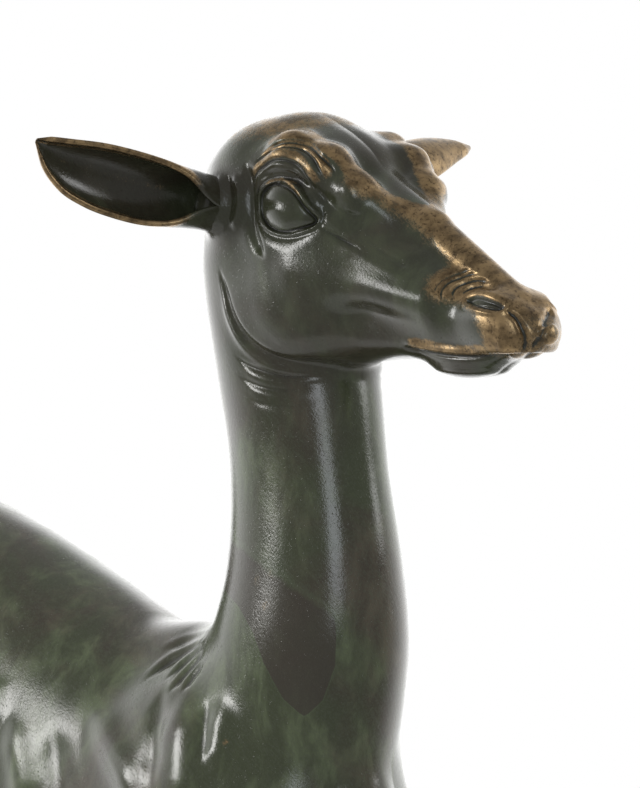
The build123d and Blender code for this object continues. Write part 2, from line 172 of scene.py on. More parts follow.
FORE_JOINT = 333.0
HIND_JOINT = 352.0
SPIGOT = 28.0      # how far a leg reaches up into its socket
THROAT_JOINT = 629.0
NECK_JOINT = ((107, 0, 514), 24.0)     # a point on the joint, and its tip forward in degrees

TRUNK_TABLE = eased([(x, 0, z, w, h) for x, z, h, w in TRUNK])
NECK_TABLE = eased([(z, x, 0, a, w) for z, x, a, w in NECK])
SKULL_TABLE = eased([(x, 0, z, w, h) for x, z, h, w in SKULL])
JAW_TABLE = eased([(x, 0, z, w, h) for x, z, h, w in JAW])


def leg_table(stations, step, joint, side):
    """Leg stations on one side, the part below the joint swung by its step."""
    rows = []
    for z, x, off, length, width in stations:
        share = max(0.0, (joint + SPIGOT - z) / (joint - GROUND))
        rows.append((z, x + step * share, SIDES[side] * off, length, width))
    rows.append((GROUND - 3, *rows[-1][1:]))
    return eased(rows)


LEG_TABLES = {}
for leg_side in SIDES:
    LEG_TABLES["fore", leg_side] = leg_table(FORELEG, FORE_STEP[leg_side], FORE_JOINT, leg_side)
    LEG_TABLES["hind", leg_side] = leg_table(HIND_LEG, HIND_STEP[leg_side], HIND_JOINT, leg_side)


# ---------------------------------------------------------------- fields
def head_field(p):
    """Head without its ears. The left half mirrors the right."""
    q = p.copy()
    q[:, 1] = np.abs(q[:, 1])
    x, h, z = q.T
    d = oval_loft(x, p[:, 1], z, SKULL_TABLE)
    d = smooth_min(d, oval_loft(x, p[:, 1], z, JAW_TABLE), 7)
    d = smooth_min(d, ellipsoid(q, (100.5, 15, 712), (27.5, 20.5, 26.1)), 9)      # temple
    d = smooth_min(d, ellipsoid(q, (124, 17, 676), (36, 18, 32), 4), 12)      # cheek
    d = smooth_min(d, cone(q, (110, 21, 717), (131, 23, 726), 10.5, 11), 6)     # brow
    d = smooth_min(d, cone(q, (131, 23, 726), (147, 20.5, 721.5), 11, 10.3), 4)
    d = smooth_min(d, cone(q, (147, 20.5, 721.5), (161, 17.5, 712), 10.3, 8.5), 4)
    d = smooth_min(d, cone(q, (161, 17.5, 712), (184, 5, 692.5), 8.5, 5.5), 4)  # edge of the bridge
    d = smooth_min(d, cone(q, (140, 24, 680), (202, 15.3, 670), 6, 5), 12)       # cheekbone
    d = smooth_min(d, cone(q, (148, 0, 717), (186, 0, 697.8), 8, 8), 8)         # bridge
    d = smooth_min(d, cone(q, (186, 0, 697.8), (236, 0, 667.5), 8, 8), 3)
    d = smooth_min(d, ellipsoid(q, (118, 5, 722), (35, 17, 18.2)), 8)           # forehead
    d = smooth_min(d, cone(q, (99, 20, 704), (94, 33, 706.5), 17, 10.5), 8)     # root of the ear
    d = smooth_min(d, ellipsoid(q, (232, 8.5, 666), (12.5, 8, 9.5), 12), 5)     # nostril wing
    d = smooth_min(d, cone(q, (166, 8, 663), (241, 6.5, 658), 7, 6.8), 10)    # upper lip
    d = smooth_min(d, ellipsoid(q, (210, 3, 648.5), (21.5, 9.5, 7.8)), 4)         # chin
    socket = ellipsoid(q, (139, 42, 706.5), (20.5, 10.5, 13.5), 8)
    d = -smooth_min(-d, socket, 6)
    return smooth_min(d, ellipsoid(q, (137, 25.5, 706.5), (17.5, 13.2, 12.8), 8), 1.5)


def neck_field(p):
    return oval_loft(p[:, 2], p[:, 0], p[:, 1], NECK_TABLE)


def leg_field(p, kind, side):
    return oval_loft(p[:, 2], p[:, 0], p[:, 1], LEG_TABLES[kind, side])


def trunk_field(p):
    """Trunk with shoulders and haunches."""
    q = p.copy()
    q[:, 1] = np.abs(q[:, 1])
    d = oval_loft(p[:, 0], p[:, 1], p[:, 2], TRUNK_TABLE)
    d = smooth_min(d, ellipsoid(q, (74, 24, 452), (42, 29, 60), -18), 22)      # shoulder
    d = smooth_min(d, ellipsoid(q, (46, 0, 507), (42, 24, 25)), 12)            # withers
    d = smooth_min(d, ellipsoid(q, (-178, 24, 490), (62, 31, 62), 20), 22)     # haunch
    for kind, side in LEG_TABLES:
        d = smooth_min(d, leg_field(p, kind, side), 14)
    return d


def lower_field(p):
    """Trunk, legs and neck."""
    return smooth_min(trunk_field(p), neck_field(p), 20)


def upper_field(p):
    """Neck and head."""
    return smooth_min(neck_field(p), head_field(p), 7)


def figure_field(p):
    """The whole figure but its ears and tail."""
    return smooth_min(lower_field(p), head_field(p), 7)


# ---------------------------------------------------------------- meshing
def grid_points(low, high, pitch):
    """Points of a regular grid over a box, and the grid's shape."""
    axes = [np.arange(a, b + pitch, pitch) for a, b in zip(low, high)]
    mesh = np.meshgrid(*axes, indexing="ij")
    return np.stack([m.ravel() for m in mesh], 1), mesh[0].shape


def skin(field, low, high, pitch):
    """(points, quads) of the field's surface within a box."""
    points, shape = grid_points(low, high, pitch)
    values = field(points).reshape(shape).astype(np.float32)
    grid = openvdb.FloatGrid(background=50.0)
    grid.copyFromArray(values)
    verts, quads = grid.convertToQuads(isovalue=0.0)
    return np.array(verts, float) * pitch + np.array(low, float), np.array(quads)[:, ::-1]


def slope(field, points, reach=0.25):
    """Gradient of the field, by four samples."""
    total = np.zeros_like(points)
    for corner in ((1, -1, -1), (-1, -1, 1), (-1, 1, -1), (1, 1, 1)):
        direction = np.array(corner, float)
        total += field(points + reach * direction)[:, None] * direction
    return total / (4 * reach)


def settle(field, points, rounds=3):
    """Points brought onto the field's surface, with the unit normals there."""
    for _ in range(rounds):
        gradient = slope(field, points)
        size = np.maximum((gradient ** 2).sum(1), 0.05)
        step = field(points) / size
        points = points - gradient * np.clip(step, -2, 2)[:, None]
    gradient = slope(field, points)
    return points, gradient / np.linalg.norm(gradient, axis=1, keepdims=True)


def to_row(points):
    """Figure millimetres to the frame's metres."""
    return (np.asarray(points, float) + np.array([SHIFT, 0, 0])) * MM


def plane_of(origin, tip):
    """Point and normal of a joint plane tipped forward by tip degrees."""
    angle = math.radians(tip)
    return np.array(origin, float), np.array([math.sin(angle), 0, math.cos(angle)])


# ---------------------------------------------------------------- chased detail
def fade(value, start, end, soft):
    """1 between start and end, easing to 0 over soft outside them."""
    return smooth_step(start - soft, start, value) * smooth_step(end + soft, end, value)


def smooth_path(points, steps=7, closed=False):
    """Points along a smooth curve through the given ones."""
    p = np.array(points, float)
    padded = np.concatenate([p[-1:], p, p[:2]]) if closed else np.concatenate([p[:1], p, p[-1:]])
    fine = []
    for a, b, c, d in zip(padded, padded[1:], padded[2:], padded[3:]):
        for t in np.arange(steps) / steps:
            fine.append(0.5 * (2 * b + (c - a) * t + (2 * a - 5 * b + 4 * c - d) * t ** 2
                               + (3 * b - a - 3 * c + d) * t ** 3))
    fine.append(p[0] if closed else p[-1])
    return np.array(fine)


def path_distance(u, v, path):
    """(distance to a path in a plane, share along it)."""
    lengths = np.linalg.norm(np.diff(path, axis=0), axis=1)
    starts = np.concatenate([[0], np.cumsum(lengths)])
    best, share = np.full(len(u), 1e9), np.zeros(len(u))
    for a, b, length, before in zip(path, path[1:], lengths, starts):
        step = (b - a) / max(length, 1e-9)
        t = np.clip((u - a[0]) * step[0] + (v - a[1]) * step[1], 0, length)
        gap = np.hypot(u - a[0] - t * step[0], v - a[1] - t * step[1])
        closer = gap < best
        best = np.where(closer, gap, best)
        share = np.where(closer, (before + t) / starts[-1], share)
    return best, share


def stroke(u, v, points, width, height, taper=0.2):
    """Rounded ridge, or groove when height is negative, along a smooth path, tapering at its ends."""
    path = smooth_path(points)
    room = 2.6 * width
    low, high = path.min(0) - room, path.max(0) + room
    near = (u > low[0]) & (u < high[0]) & (v > low[1]) & (v < high[1])
    total = np.zeros(len(u))
    if near.any():
        gap, share = path_distance(u[near], v[near], path)
        ends = smooth_step(0, taper, share) * smooth_step(1, 1 - taper, share)
        total[near] = height * np.exp(-(gap / (width * (0.45 + 0.55 * ends))) ** 2) * ends
    return total


def outline_distance(u, v, points):
    """Signed distance to a smooth closed outline, negative inside."""
    path = smooth_path(points, closed=True)
    gap, _ = path_distance(u, v, path)
    inside = np.zeros(len(u), bool)
    for a, b in zip(path, path[1:]):
        crosses = (a[1] > v) != (b[1] > v)
        rise = b[1] - a[1] if abs(b[1] - a[1]) > 1e-9 else 1e-9
        inside ^= crosses & (u < a[0] + (v - a[1]) * (b[0] - a[0]) / rise)
    return np.where(inside, -gap, gap)


# Features of the face, each drawn in the side view as (x, height)
EYE = [
    (122.5, 707.5), (123.5, 713), (129, 716), (136, 716), (143, 713.5), (148.5, 708.5),
    (152.5, 701.5), (147, 698.5), (138, 697), (129.5, 698.5), (124, 702.5),
]
BROW_EDGE = [
    (116, 725), (118.5, 731.5), (127, 735.5), (137, 736.5), (148, 733.5), (158, 727.5),
    (163, 722), (170.5, 717),
]
BROW_CREASES = [
    [(121, 729), (128, 731.8), (135, 733.2), (142, 732.3), (150, 728.8), (156.5, 723.5), (160, 717.5)],
    [(117, 722), (119.5, 726), (126, 729.5), (135, 731.5), (143, 730), (151, 725), (155.5, 716.5)],
    [(117, 713.5), (120, 721), (128, 725), (136, 725.5), (142.5, 723), (147.5, 717.5), (151, 712)],
]
CREASE_DEPTHS = (1.6, 1.5, 1.0)
LID_CREASE = [
    (119.5, 710), (121.5, 717), (127, 720.3), (135, 720.8), (141, 719), (148, 713.5), (153.5, 706),
]
TEAR_DUCT = [(151.5, 702), (156.5, 698), (164.5, 694), (172, 690), (176, 687.5)]
DUCT_RIDGES = [
    [(152, 710), (154.5, 706), (160, 700.5), (165, 697), (171, 693.5)],
    [(160, 691.5), (168.5, 689.5), (176.5, 686), (189, 681.5), (199, 678.5)],
]
EAR_VALLEY = [(112, 726), (117, 716.5), (118, 705), (120.5, 694), (127, 686)]
ROOT_FOLDS = [
    [(107, 721), (111, 713), (111, 705.5), (107, 697)], [(98, 721), (102.5, 713), (102, 705.5), (97, 697)],
]
JAW_CREASE = [
    (94.5, 684), (98.5, 673), (103, 663), (109.5, 654.5), (118, 648.5), (128, 645), (139, 644),
    (154, 647),
]
JAW_RIDGE = [(93, 680), (97, 671), (100.5, 661), (107, 651.5), (117, 644.5), (128.5, 641), (138, 641)]
# (path, half width, height)
THROAT_FOLDS = [
    ([(100, 648), (108, 643.5), (117, 640.8), (127, 638.8), (139, 639.3)], 1.4, -0.8),
    ([(102, 643), (110.5, 639), (122.5, 636.3), (133.5, 637.3), (142, 638)], 1.8, 0.35),
    ([(101, 639.5), (112, 635.5), (124, 633.3), (138, 634)], 1.5, -0.6),
    ([(104.5, 635), (113, 632), (126.5, 630), (138, 631)], 2.0, 0.25),
    ([(105, 630.5), (116, 628), (127, 626.8), (137, 628)], 1.6, -0.3),
]
NOSTRIL = [(223, 671), (227.3, 673), (235.5, 672), (242, 669.3), (241, 667.5), (234.8, 668), (227, 669.5)]
COMMA = [(219.3, 671.5), (219.3, 675), (223.5, 677), (231, 676.3), (236, 674.7)]
NOSE_CREASES = [
    [(216, 670.5), (214.5, 674.5), (216, 677.3), (221.5, 678.7), (228.5, 678.3)],
    [(212.2, 669.5), (210.6, 674.5), (211.8, 678.5), (216.5, 680.7), (222, 681.2)],
    [(209.2, 671.5), (208.3, 676.5), (209.3, 679.7), (214, 682), (218.5, 683)],
]
# Grooves down the nose leather, in the front view: (right of the middle, height)
LEATHER_EDGE = [(13.3, 668), (11, 665.3), (10, 660.5), (9, 656.5), (7.5, 651)]
LEATHER_MIDDLE = [(-9, 668.5), (-6, 666.6), (-2, 664.6), (1.5, 662.3), (4.3, 658), (5.5, 651)]
MOUTH = [(184, 652), (188, 651.5), (196, 650.2), (209, 649.4), (223, 649), (235, 649.3), (246, 650)]
# (path, half width, height)
FORE_MUSCLES = [
    ([(14, 500), (26, 492), (41, 484), (55, 475), (63, 466), (68, 450)], 8, 2.8),
    ([(78, 512), (84, 495), (90, 478), (94, 455)], 10, 2.2), ([(62, 510), (69, 493), (77, 468)], 5.5, -1.5),
    ([(102, 510), (105, 494), (108, 476)], 6, 1.4), ([(94, 508), (97, 494), (100, 480)], 3.6, -1.1),
    ([(-26, 492), (-19, 480), (-12, 466), (-7, 446)], 8, 2.0),
    ([(-2, 490), (6, 478), (14, 460), (18, 444)], 7, -1.4),
    ([(-44, 506), (-38, 494), (-33, 480)], 7, 1.4),
]
# (path, height)
WITHER_FOLDS = [
    ([(72, 532), (58, 527), (40, 521)], -0.7), ([(74, 531), (60, 523), (50, 516), (42, 508)], -1.1),
    ([(77, 529), (67, 520.5), (58, 510.5)], -1.2), ([(80, 526), (73, 517), (67, 506)], -1.1),
    ([(83, 521), (79, 514.5), (76, 507.5)], -0.9),
]


def eye_detail(x, h, z):
    """Blank eyeball within thin rimmed lids, and the tear duct."""
    d = outline_distance(x, z, EYE)
    above = smooth_step(-2, 3, z - 707 + 0.3 * (x - 137))
    total = 1.1 * np.clip(-d / 9, 0, 1) ** 0.5
    total -= 1.1 * np.exp(-((d + 0.1) / 0.55) ** 2)
    total += (0.6 + 0.3 * above) * np.exp(-((d - 1.15) / 0.7) ** 2)
    total -= 0.55 * np.exp(-((d - 2.8) / 0.75) ** 2) * (0.25 + 0.75 * above)
    total += stroke(x, z, LID_CREASE, 1.2, -0.7, 0.25)
    total += stroke(x, z, TEAR_DUCT, 1.0, -1.2, 0.6)
    total += stroke(x, z, DUCT_RIDGES[0], 2.2, 0.55) + stroke(x, z, DUCT_RIDGES[1], 2.2, 0.5)
    total += stroke(x, z, [(177, 691.5), (185, 687.5), (194, 683)], 0.9, -0.45)
    total += stroke(x, z, [(163, 718), (167, 711), (166, 703)], 3.0, 0.8)
    return total * smooth_step(12, 18, h)


def brow_detail(x, h, z):
    """Grooved folds carved in the mound over the eye, under a raised edge."""
    total = stroke(x, z, BROW_EDGE, 2.8, 0.35, 0.25)
    for crease, depth in zip(BROW_CREASES, CREASE_DEPTHS):
        total += stroke(x, z, crease, 0.85, -depth, 0.22)
    for low, high in zip(BROW_CREASES, BROW_CREASES[1:]):
        middle = [((a[0] + b[0]) / 2, (a[1] + b[1]) / 2) for a, b in zip(low, high)]
        total += stroke(x, z, middle[1:], 1.5, 0.25)
    return total * smooth_step(22, 26.5, h)


def ear_root_detail(x, h, z):
    """Upright folds of the ear's root, and the valley between them and the eye."""
    total = stroke(x, z, EAR_VALLEY, 2.8, -1.9)
    for fold in ROOT_FOLDS:
        total += stroke(x, z, fold, 2.4, 0.8)
        total += stroke(x, z, [(a - 4, b) for a, b in fold], 1.5, -0.5)
    return total * smooth_step(16, 24, h)


def nose_detail(x, h, z, right):
    """Nostril and its comma fold, the creases behind it, and the two grooves that edge the nose leather."""
    side = smooth_step(2.5, 5.5, h)
    d = outline_distance(x, z, NOSTRIL)
    total = -1.9 * smooth_step(0.5, -0.9, d)
    total += 0.9 * smooth_step(-0.3, -1.8, d) * smooth_step(671, 669.5, z)
    total += 0.55 * np.exp(-((d - 1.4) / 0.8) ** 2) + stroke(x, z, COMMA, 1.05, -1.5, 0.3)
    for crease, depth in zip(NOSE_CREASES, (1.1, 0.95, 0.7)):
        total += stroke(x, z, crease, 0.8, -depth, 0.25)
    front = smooth_step(233, 239, x)
    leather = stroke(h, z, LEATHER_EDGE, 1.2, -1.7, 0.15) * smooth_step(-1, 2, right)
    leather += stroke(right, z, LEATHER_MIDDLE, 1.4, -1.5, 0.15)
    return total * side + leather * front


def mouth_detail(x, h, z):
    """Line between the lips, with the upper one overhanging."""
    below = z - np.interp(x, *smooth_path(MOUTH).T)
    groove = -1.6 * np.exp(-(below / 0.9) ** 2)
    lower = -1.0 * smooth_step(0.4, -1.4, below) * smooth_step(-9, -4, below)
    upper = 0.6 * np.exp(-((below - 2.4) / 1.8) ** 2)
    return (groove + lower + upper) * smooth_step(185, 192, x) * smooth_step(642, 644, z)


def throat_detail(x, h, z):
    """The jaw's edge and the soft folds that follow it down the throat."""
    total = stroke(x, z, JAW_CREASE, 2.2, -1.6, 0.2) + stroke(x, z, JAW_RIDGE, 2.0, 0.6, 0.25)
    for path, width, height in THROAT_FOLDS:
        total += stroke(x, z, path, width, height, 0.35)
    return total * smooth_step(4, 13, h)


def wither_detail(x, h, z):
    """Small wrinkles that fan out where the neck meets the back."""
    total = np.zeros(len(x))
    for path, height in WITHER_FOLDS:
        total += stroke(x, z, path, 2.0, height, 0.35)
        total += stroke(x, z, [(a - 3.6, b + 1.6) for a, b in path], 2.2, -0.45 * height, 0.35)
    return total * smooth_step(8, 16, h)


def shoulder_detail(x, h, z):
    """Shoulder blade, the muscles beside it and the first ribs."""
    total = np.zeros(len(x))
    for path, width, height in FORE_MUSCLES:
        total += stroke(x, z, path, width, height, 0.35)
    for i in range(5):
        start = -50 - 22 * i
        rib = [(start - 14, 506 + 4 * i), (start - 4, 484), (start + 2, 452), (start + 3, 425)]
        total += stroke(x, z, rib, 6, 1.2 - 0.12 * i, 0.35)
    return total * smooth_step(18, 34, h)


def chased(p):
    """How far the chased surface stands off the smooth form, in mm."""
    x, h, z = p[:, 0], np.abs(p[:, 1]), p[:, 2]
    height = np.zeros(len(p))
    regions = [
        ((z > 676) & (x > 96) & (x < 210) & (h > 9), (eye_detail, brow_detail)),
        ((z > 680) & (x > 84) & (x < 130) & (h > 14), (ear_root_detail,)),
        ((z > 636) & (z < 660) & (x > 182), (mouth_detail,)),
        ((z > 610) & (z < 692) & (x < 185), (throat_detail,)),
        ((z > 400) & (z < 560), (wither_detail, shoulder_detail)),
    ]
    for region, details in regions:
        if region.any():
            for detail in details:
                height[region] += detail(x[region], h[region], z[region])
    nose = (z > 644) & (x > 198)
    if nose.any():
        height[nose] += nose_detail(x[nose], h[nose], z[nose], -p[nose, 1])
    return height


# ---------------------------------------------------------------- wear
def smoothed_points(points, edges, rounds):
    """Points after rounds of averaging with their neighbours."""
    first, second = edges[:, 0], edges[:, 1]
    count = np.bincount(edges.ravel(), minlength=len(points))[:, None].clip(1)
    for _ in range(rounds):
        total = np.zeros_like(points)
        for axis in range(3):
            total[:, axis] = np.bincount(first, points[second, axis], len(points))
            total[:, axis] += np.bincount(second, points[first, axis], len(points))
        points = 0.5 * points + 0.5 * total / count
    return points


def relief_of(points, quads, normals, rounds=14):
    """How far each point stands above its surroundings, in mm."""
    edges = np.concatenate([quads[:, [i, (i + 1) % 4]] for i in range(4)])
    return ((points - smoothed_points(points, edges, rounds)) * normals).sum(1)


def band(u, v, points, width):
    """1 along a smooth path, easing to 0 at its width."""
    gap, share = path_distance(u, v, smooth_path(points))
    ends = smooth_step(0, 0.1, share) * smooth_step(1, 0.9, share)
    return smooth_step(width * 1.3, width * 0.5, gap) * ends


# Outline of the bare bronze on the bridge and muzzle, in the side view
RUBBED_FACE = [
    (162, 720), (174, 708), (187, 699), (197, 691.5), (206, 684.5), (203, 679), (208, 671), (219, 669),
    (229, 666), (233, 659), (234, 649.5), (262, 646), (268, 680), (230, 704), (190, 730), (176, 732),
]
# (x, half width) of the dark patch between the brows
FOREHEAD = [(118, 15), (139, 17), (154, 16), (160, 13), (168, 10), (176, 6.5), (182, 3), (186, -2)]


def face_gold(x, h, z):
    """Gold of the brows, the bridge, the muzzle and the upper lip."""
    side = smooth_step(8, 12, h)
    gold = 0.9 * band(x, z, BROW_EDGE[1:], 2.6) * side
    for i, crease in enumerate(BROW_CREASES[:2]):
        inner = [((a[0] + b[0]) / 2, (a[1] + b[1]) / 2) for a, b in zip(crease, BROW_CREASES[i + 1])]
        gold = np.maximum(gold, (0.8, 0.62)[i] * band(x, z, inner, 1.9) * side)
    lid = [(124, 716), (129.5, 718), (138, 717.5), (148.5, 710.5)]
    gold = np.maximum(gold, 0.75 * band(x, z, lid, 0.9) * side)
    gold = np.maximum(gold, 0.92 * smooth_step(3.5, -5.0, outline_distance(x, z, RUBBED_FACE)))
    gold *= smooth_step(-1.0, 0.6, outline_distance(x, z, NOSTRIL))
    gold = np.maximum(gold, 0.7 * band(x, z, [(187, 653), (198, 653.5), (214, 651.5), (236, 652)], 2.6))
    gold *= 1 - 0.35 * fade(x, 236, 262, 4) * fade(z, 650, 664, 3) * smooth_step(12, 8, h)
    half = np.interp(x, *np.array(FOREHEAD, float).T)
    forehead = smooth_step(half + 2, half - 2, h) * fade(x, 110, 186, 6) * smooth_step(700, 704, z)
    return gold * (1 - 0.95 * forehead)


# (x, height, radius, amount) of small rubbed spots on the right of the neck
FLECKS = [(116, 556.5, 3.2, 0.34), (124, 560, 2.6, 0.34), (122.5, 547, 3, 0.3), (109.5, 491, 1.3, 0.6)]


def gold_of(p, relief):
    """Where handling has rubbed the patina through to bronze, 0 to 1."""
    x, h, z = p[:, 0], np.abs(p[:, 1]), p[:, 2]
    gold = 0.6 * smooth_step(729, 740, z) * fade(x, 78, 128, 8)
    for a, b, size, amount in FLECKS:
        gold += amount * np.exp(-((x - a) ** 2 + (z - b) ** 2) / size ** 2) * (p[:, 1] < 0)
    face = (z > 645) & (x > 98)
    if face.any():
        gold[face] = np.maximum(gold[face], face_gold(x[face], h[face], z[face]))
        gold[face] += 0.2 * smooth_step(0.12, 0.5, relief[face]) * smooth_step(160, 205, x[face])
    return np.clip(gold - 0.9 * smooth_step(0.06, 0.4, -relief), 0, 1)


# Edges of the stain: (height, place across the neck as it turns forward)
STAIN_LEFT = [(503, -7), (510, -15), (524, -23), (535, -27), (545, -33), (553, -42), (562, -52), (592, -54)]
STAIN_RIGHT = [(503, -6), (510, 1), (524, 6), (545, 6.5), (575, 7), (592, 2)]


def brown_of(p):
    """Tongue-shaped brown stain down the right of the neck, 0 to 1."""
    x, y, z = p.T
    across = 0.64 * (x - 118) + 0.77 * y
    left, right = (np.interp(z, *np.array(edge, float).T) for edge in (STAIN_LEFT, STAIN_RIGHT))
    width = smooth_step(-1.5, 1.5, across - left) * smooth_step(1.5, -1.5, across - right)
    top = 566 - 0.65 * (across + 30)
    return width * smooth_step(501, 505, z) * smooth_step(top + 12, top - 10, z) * (y < 0)


# ---------------------------------------------------------------- castings
def split_quads(quads, vertex_total, points):
    """Each quad divided in four: new points at the edges' middles and the quads' centres."""
    edges = np.sort(np.concatenate([quads[:, [i, (i + 1) % 4]] for i in range(4)]), axis=1)
    unique, index = np.unique(edges, axis=0, return_inverse=True)
    index = index.reshape(4, -1).T + vertex_total
    centre = np.arange(len(quads)) + vertex_total + len(unique)
    points = np.concatenate([points, points[unique].mean(1), points[quads].mean(1)])
    divided = []
    for i in range(4):
        divided.append(np.stack([quads[:, i], index[:, i], centre, index[:, i - 1]], 1))
    return points, np.concatenate(divided)


def keep(mesh, **values):
    """Named values at each point, for the material."""
    for name, numbers in values.items():
        mesh.attributes.new(name, "FLOAT", "POINT").data.foreach_set("value", numbers.astype(np.float32))


def new_piece(name, mesh):
    """A linked object of the mesh."""
    piece = bpy.data.objects.new(name, mesh)
    bpy.context.scene.collection.objects.link(piece)
    return piece


def write_smooth(bm, mesh):
    """Writes a closed bmesh to the mesh, its normals outward and its faces smooth."""
    bmesh.ops.recalc_face_normals(bm, faces=bm.faces)
    for face in bm.faces:
        face.smooth = True
    bm.to_mesh(mesh)
    bm.free()


def casting(name, low, high, pitch, planes, field, detail=chased):
    """The field's skin in a box, chased, and cut at planes of (point, normal kept, x range)."""
    room = 3 * pitch

    def boxed(points):
        d = field(points)
        for origin, normal, reach in planes:
            beyond = -((points - origin) @ normal) - room
            here = (points[:, 0] > reach[0]) & (points[:, 0] < reach[1])
            d = np.where(here, np.maximum(d, beyond), d)
        return d

    points, quads = skin(boxed, low, high, pitch)
    points, quads = split_quads(quads, len(points), points)
    near = np.ones(len(points), bool)
    for origin, normal, reach in planes:
        outside = (points[:, 0] < reach[0]) | (points[:, 0] > reach[1])
        near &= outside | ((points - origin) @ normal > -room + pitch)
    normals = np.zeros_like(points)
    points[near], normals[near] = settle(field, points[near])
    points[near] += normals[near] * detail(points[near])[:, None]
    mesh = bpy.data.meshes.new(name)
    mesh.from_pydata(to_row(points).tolist(), [], quads.tolist())
    mesh.shade_smooth()
    relief = relief_of(points, quads, normals)
    # Mask of the hollows: it paints shade into the patina's colour there, and also keeps bare bronze out of
    # them and roughens them.
    keep(mesh, gold=gold_of(points, relief), brown=brown_of(points), cavity=smooth_step(0.04, 0.4, -relief))
    cut(mesh, planes)
    return new_piece(name, mesh)


def cut(mesh, planes):
    """Cuts the mesh at each plane and closes the cut with a flat cap behind a sharp edge."""
    bm = bmesh.new()
    bm.from_mesh(mesh)
    for origin, normal, reach in planes:
        low, high = (to_row([(edge, 0, 0)])[0][0] for edge in reach)
        verts = [v for v in bm.verts if low < v.co.x < high]
        chosen = set(verts)
        edges = [e for e in bm.edges if e.verts[0] in chosen and e.verts[1] in chosen]
        faces = [f for f in bm.faces if all(v in chosen for v in f.verts)]
        bmesh.ops.bisect_plane(
            bm, geom=verts + edges + faces, dist=1e-7, plane_co=Vector(to_row([origin])[0]),
            plane_no=Vector(-normal), clear_outer=True,
        )
        rim = [e for e in bm.edges if e.is_boundary]
        for edge in rim:
            edge.smooth = False
        cap = bmesh.ops.triangle_fill(bm, edges=rim, use_beauty=True, normal=Vector(-normal))
        for face in cap["geom"]:
            if isinstance(face, bmesh.types.BMFace):
                face.smooth = False
    bm.to_mesh(mesh)
    bm.free()


# ---------------------------------------------------------------- ears
EAR_BASE = (94, -35, 708)
EAR_TIP = (81, -115, 733)
EAR_FACES = {"right": (0.96, -0.26, -0.11), "left": (-0.34, 0.22, -0.91)}
# (share of the length, sag below the axis, half breadth, half depth of the cup, closing of the cup)
EAR = [
    (-0.08, 0, 10, 9.5, 86), (0.06, 0.6, 10.6, 9.6, 84), (0.14, 1.4, 11.2, 10, 66),
    (0.22, 2.4, 11.9, 10.6, 34), (0.34, 3.6, 12.9, 11, 10), (0.5, 4.5, 13.2, 11, 0),
    (0.66, 5, 12.3, 9.6, -4), (0.82, 4.7, 9.3, 6.6, -6), (0.93, 2.6, 5.2, 3.6, -6), (1, 0, 1.0, 1.2, -6),
]
EAR_TABLE = eased(EAR)
RIM_RADIUS = 1.25
LEAF_HALF_WALL = 0.95
RIM_STROKE = 2.9          # pitch of the chased strokes along the rim
STROKE_SLANT = 1.15
STROKE_DEPTH = 0.30


def ear_frame(side):
    """Base, and unit vectors down across the leaf, toward its opening and to its tip, with its length."""
    sign = SIDES[side]
    base, tip = (np.array([v[0], -sign * v[1], v[2]], float) for v in (EAR_BASE, EAR_TIP))
    faces = np.array(EAR_FACES[side], float)
    axis = tip - base
    length = np.linalg.norm(axis)
    axis = axis / length
    across = np.cross(faces, axis) * -sign
    across = across / np.linalg.norm(across)
    opening = np.cross(axis, across) * -sign
    return base, across, opening, axis, length


